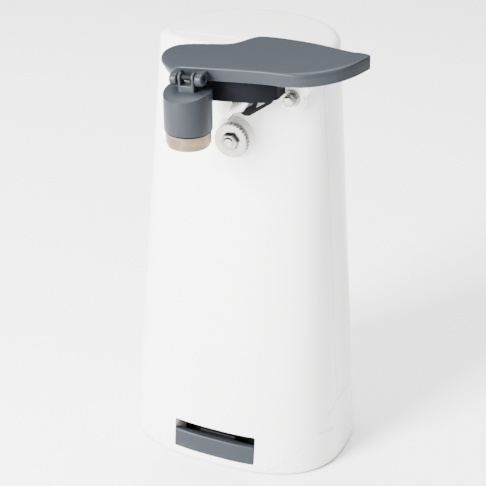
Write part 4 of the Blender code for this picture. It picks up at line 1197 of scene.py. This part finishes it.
def make_guide_stud():
    """The hexagonal stud on its shank and the sprung wire hooked round it."""
    radius = 5.7 / 2 / math.cos(math.radians(30))
    stud = upright("stud_head", hexagon(STUD_X, STUD_Z, radius, 12), STUD_FRONT, STUD_FOOT, 0.18,
                   chamfer=0.55)
    shank = turned("stud_shank", [(0.0, 0.0), (1.9, 0.0), (1.9, 6.2), (0.0, 6.2)],
                   (STUD_X, STUD_FOOT - 0.4, STUD_Z), TO_REAR, 32)
    piece(joined([stud, shank], "hex_stud"), "housing", "bright_steel", "bright_steel", "guide_stud")
    y, reach = STUD_FOOT - 0.75, 4.1
    points = [(x, y, z) for x, z in arc(STUD_X, STUD_Z, reach, range(-60, 160, 10))]
    points += [(STUD_X - 3.4, y - 1.2, STUD_Z + 3.4), (STUD_X - 2.6, y - 2.4, STUD_Z + 5.4)]
    piece(wire("spring_wire", points, 0.4), "housing", "bright_steel", "bright_steel", "stud_clip")


def wire(name, points, radius):
    curve = bpy.data.curves.new(name, "CURVE")
    curve.dimensions, curve.use_fill_caps = "3D", True
    curve.bevel_depth, curve.bevel_resolution = radius * MM, 4
    spline = curve.splines.new("POLY")
    spline.points.add(len(points) - 1)
    for point, spot in zip(spline.points, points):
        point.co = (*place(*spot), 1.0)
    line = bpy.data.objects.new(name, curve)
    bpy.context.scene.collection.objects.link(line)
    bpy.context.view_layer.update()
    mesh = bpy.data.meshes.new_from_object(line.evaluated_get(bpy.context.evaluated_depsgraph_get()))
    bpy.data.objects.remove(line)
    bm = bmesh.new()
    bm.from_mesh(mesh)
    return from_bmesh(name, bm)


def finish_frame_nodes():
    """Puts a finish on every frame node that still shows, with painted shade on the hinge pin and the
    bottle-opener hook.
    """
    looks = {
        "housing_white": "glossy_white", "lever_grey": "lever_grey", "carrier_dark": "carrier_dark",
        "black_plastic": "black_plastic", "bright_steel": "bright_steel", "zinc_plate": "dull_zinc",
        "magnet_nickel": "turned_nickel", "bush_bronze": "sintered_bronze", "ferrite": "ground_ceramic",
        "gear_nylon": "natural_nylon", "foot_rubber": "soft_rubber",
    }
    # Painted shade: these metal parts get black plastic so they read as the dark gap between the ears and the
    # black slot.
    painted_shade_parts = ("magnet_hinge_pin", "opener_hook")
    slots = {entry["node"]: entry["material_slot"] for entry in frame["record"]["subparts"]}
    for name, node in frame["nodes"].items():
        for slot in node.material_slots:
            slot.material = finish("black_plastic" if name in painted_shade_parts else looks[slots[name]])


# --- stage ---------------------------------------------------------------------------------


def area_light(name, spot, target, size, power):
    data = bpy.data.lights.new(name, "AREA")
    data.shape, data.size, data.size_y = "RECTANGLE", *size
    data.energy = power
    lamp = bpy.data.objects.new(name, data)
    lamp.location = spot
    lamp.rotation_euler = (Vector(target) - Vector(spot)).to_track_quat("-Z", "Y").to_euler()
    bpy.context.scene.collection.objects.link(lamp)


def make_stage():
    """Pale floor, soft studio light and the camera."""
    mesh = bpy.data.meshes.new("floor")
    mesh.from_pydata([(-4, -4, 0), (4, -4, 0), (4, 4, 0), (-4, 4, 0)], [], [(0, 1, 2, 3)])
    floor = new_object("floor", mesh)
    mesh.materials.append(finish("pale_floor"))
    world = bpy.data.worlds.new("studio")
    world.use_nodes = True
    world.node_tree.nodes["Background"].inputs["Color"].default_value = (1.0, 1.0, 1.0, 1.0)
    world.node_tree.nodes["Background"].inputs["Strength"].default_value = 0.42
    bpy.context.scene.world = world
    target = (0.0, 0.0, 0.13)
    area_light("key", (-0.75, -1.25, 0.85), target, (0.6, 0.9), 185.0)
    area_light("side", (1.0, -0.75, 0.50), target, (0.12, 0.9), 4.0)
    area_light("top", (-0.1, 0.30, 1.5), target, (1.2, 1.2), 62.0)
    data = bpy.data.cameras.new("camera")
    data.lens, data.sensor_width = 94.7, 36.0
    camera = bpy.data.objects.new("camera", data)
    camera.location = MIDDLE + Vector((0.2531, -0.5919, 0.4712))
    look = MIDDLE + Vector((-0.0018, 0.0, 0.1230)) - camera.location
    camera.rotation_euler = look.to_track_quat("-Z", "Y").to_euler()
    bpy.context.scene.collection.objects.link(camera)
    bpy.context.scene.camera = camera


# --- operators, panel and registration -----------------------------------------------------


class OPENER_OT_shells(bpy.types.Operator):
    """Make the front shell, rear shell, skirt shell and front bosses"""

    bl_idname = "opener.shells"
    bl_label = "Housing Shells"

    def execute(self, context):
        make_front_shell()
        make_rear_shell()
        make_skirt_shell()
        make_bosses()
        return {"FINISHED"}


class OPENER_OT_base(bpy.types.Operator):
    """Make the feet, inlet bush, screws and the bottle opener slot"""

    bl_idname = "opener.base"
    bl_label = "Base and Slot"

    def execute(self, context):
        make_foot_pieces()
        make_screws()
        make_opener_slot()
        return {"FINISHED"}


class OPENER_OT_lever(bpy.types.Operator):
    """Make the lever cover and the dark block under it"""

    bl_idname = "opener.lever"
    bl_label = "Lever"

    def execute(self, context):
        make_lever_cover()
        make_blade_carrier()
        return {"FINISHED"}


class OPENER_OT_blade(bpy.types.Operator):
    """Make the cutting blade and the fork behind it"""

    bl_idname = "opener.blade"
    bl_label = "Blade and Fork"

    def execute(self, context):
        make_cutting_blade()
        return {"FINISHED"}


class OPENER_OT_lid_holder(bpy.types.Operator):
    """Make the hanging lid holder and its magnet"""

    bl_idname = "opener.lid_holder"
    bl_label = "Lid Holder"

    def execute(self, context):
        make_holder()
        make_magnet()
        return {"FINISHED"}


class OPENER_OT_drive(bpy.types.Operator):
    """Make the drive wheel, spindle, bush, guide stud and spring wire"""

    bl_idname = "opener.drive"
    bl_label = "Drive Wheel and Stud"

    def execute(self, context):
        make_drive()
        make_guide_stud()
        return {"FINISHED"}


class OPENER_OT_frame_finishes(bpy.types.Operator):
    """Put finishes on the frame's own parts"""

    bl_idname = "opener.frame_finishes"
    bl_label = "Inner Parts"

    def execute(self, context):
        finish_frame_nodes()
        return {"FINISHED"}


class OPENER_OT_stage(bpy.types.Operator):
    """Make the floor, the lights and the camera"""

    bl_idname = "opener.stage"
    bl_label = "Stage"

    def execute(self, context):
        make_stage()
        return {"FINISHED"}


OPERATORS = (
    OPENER_OT_frame_finishes, OPENER_OT_shells, OPENER_OT_base, OPENER_OT_lever, OPENER_OT_blade,
    OPENER_OT_lid_holder, OPENER_OT_drive, OPENER_OT_stage,
)


class OPENER_PT_panel(bpy.types.Panel):
    """Sizes, colours and the makers of each group of pieces"""

    bl_idname = "OPENER_PT_panel"
    bl_label = "Can Opener"
    bl_space_type = "VIEW_3D"
    bl_region_type = "UI"
    bl_category = "Opener"

    def draw(self, context):
        for group in (settings().shell, settings().lever, settings().wheel, settings().colours):
            box = self.layout.box()
            for name in group.__annotations__:
                box.prop(group, name)
        for made in OPERATORS:
            self.layout.operator(made.bl_idname)


CLASSES = (ShellSizes, LeverSizes, WheelSizes, Colours, OpenerSettings, *OPERATORS, OPENER_PT_panel)


def register():
    for made in CLASSES:
        bpy.utils.register_class(made)
    bpy.types.Scene.opener_settings = bpy.props.PointerProperty(type=OpenerSettings)


def unregister():
    del bpy.types.Scene.opener_settings
    for made in reversed(CLASSES):
        bpy.utils.unregister_class(made)


def main():
    for obj in [o for o in bpy.data.objects if o.name in ("Cube", "Light", "Camera")]:
        bpy.data.objects.remove(obj)
    register()
    for made in OPERATORS:
        group, name = made.bl_idname.split(".")
        getattr(getattr(bpy.ops, group), name)()


if __name__ == "__main__":
    main()
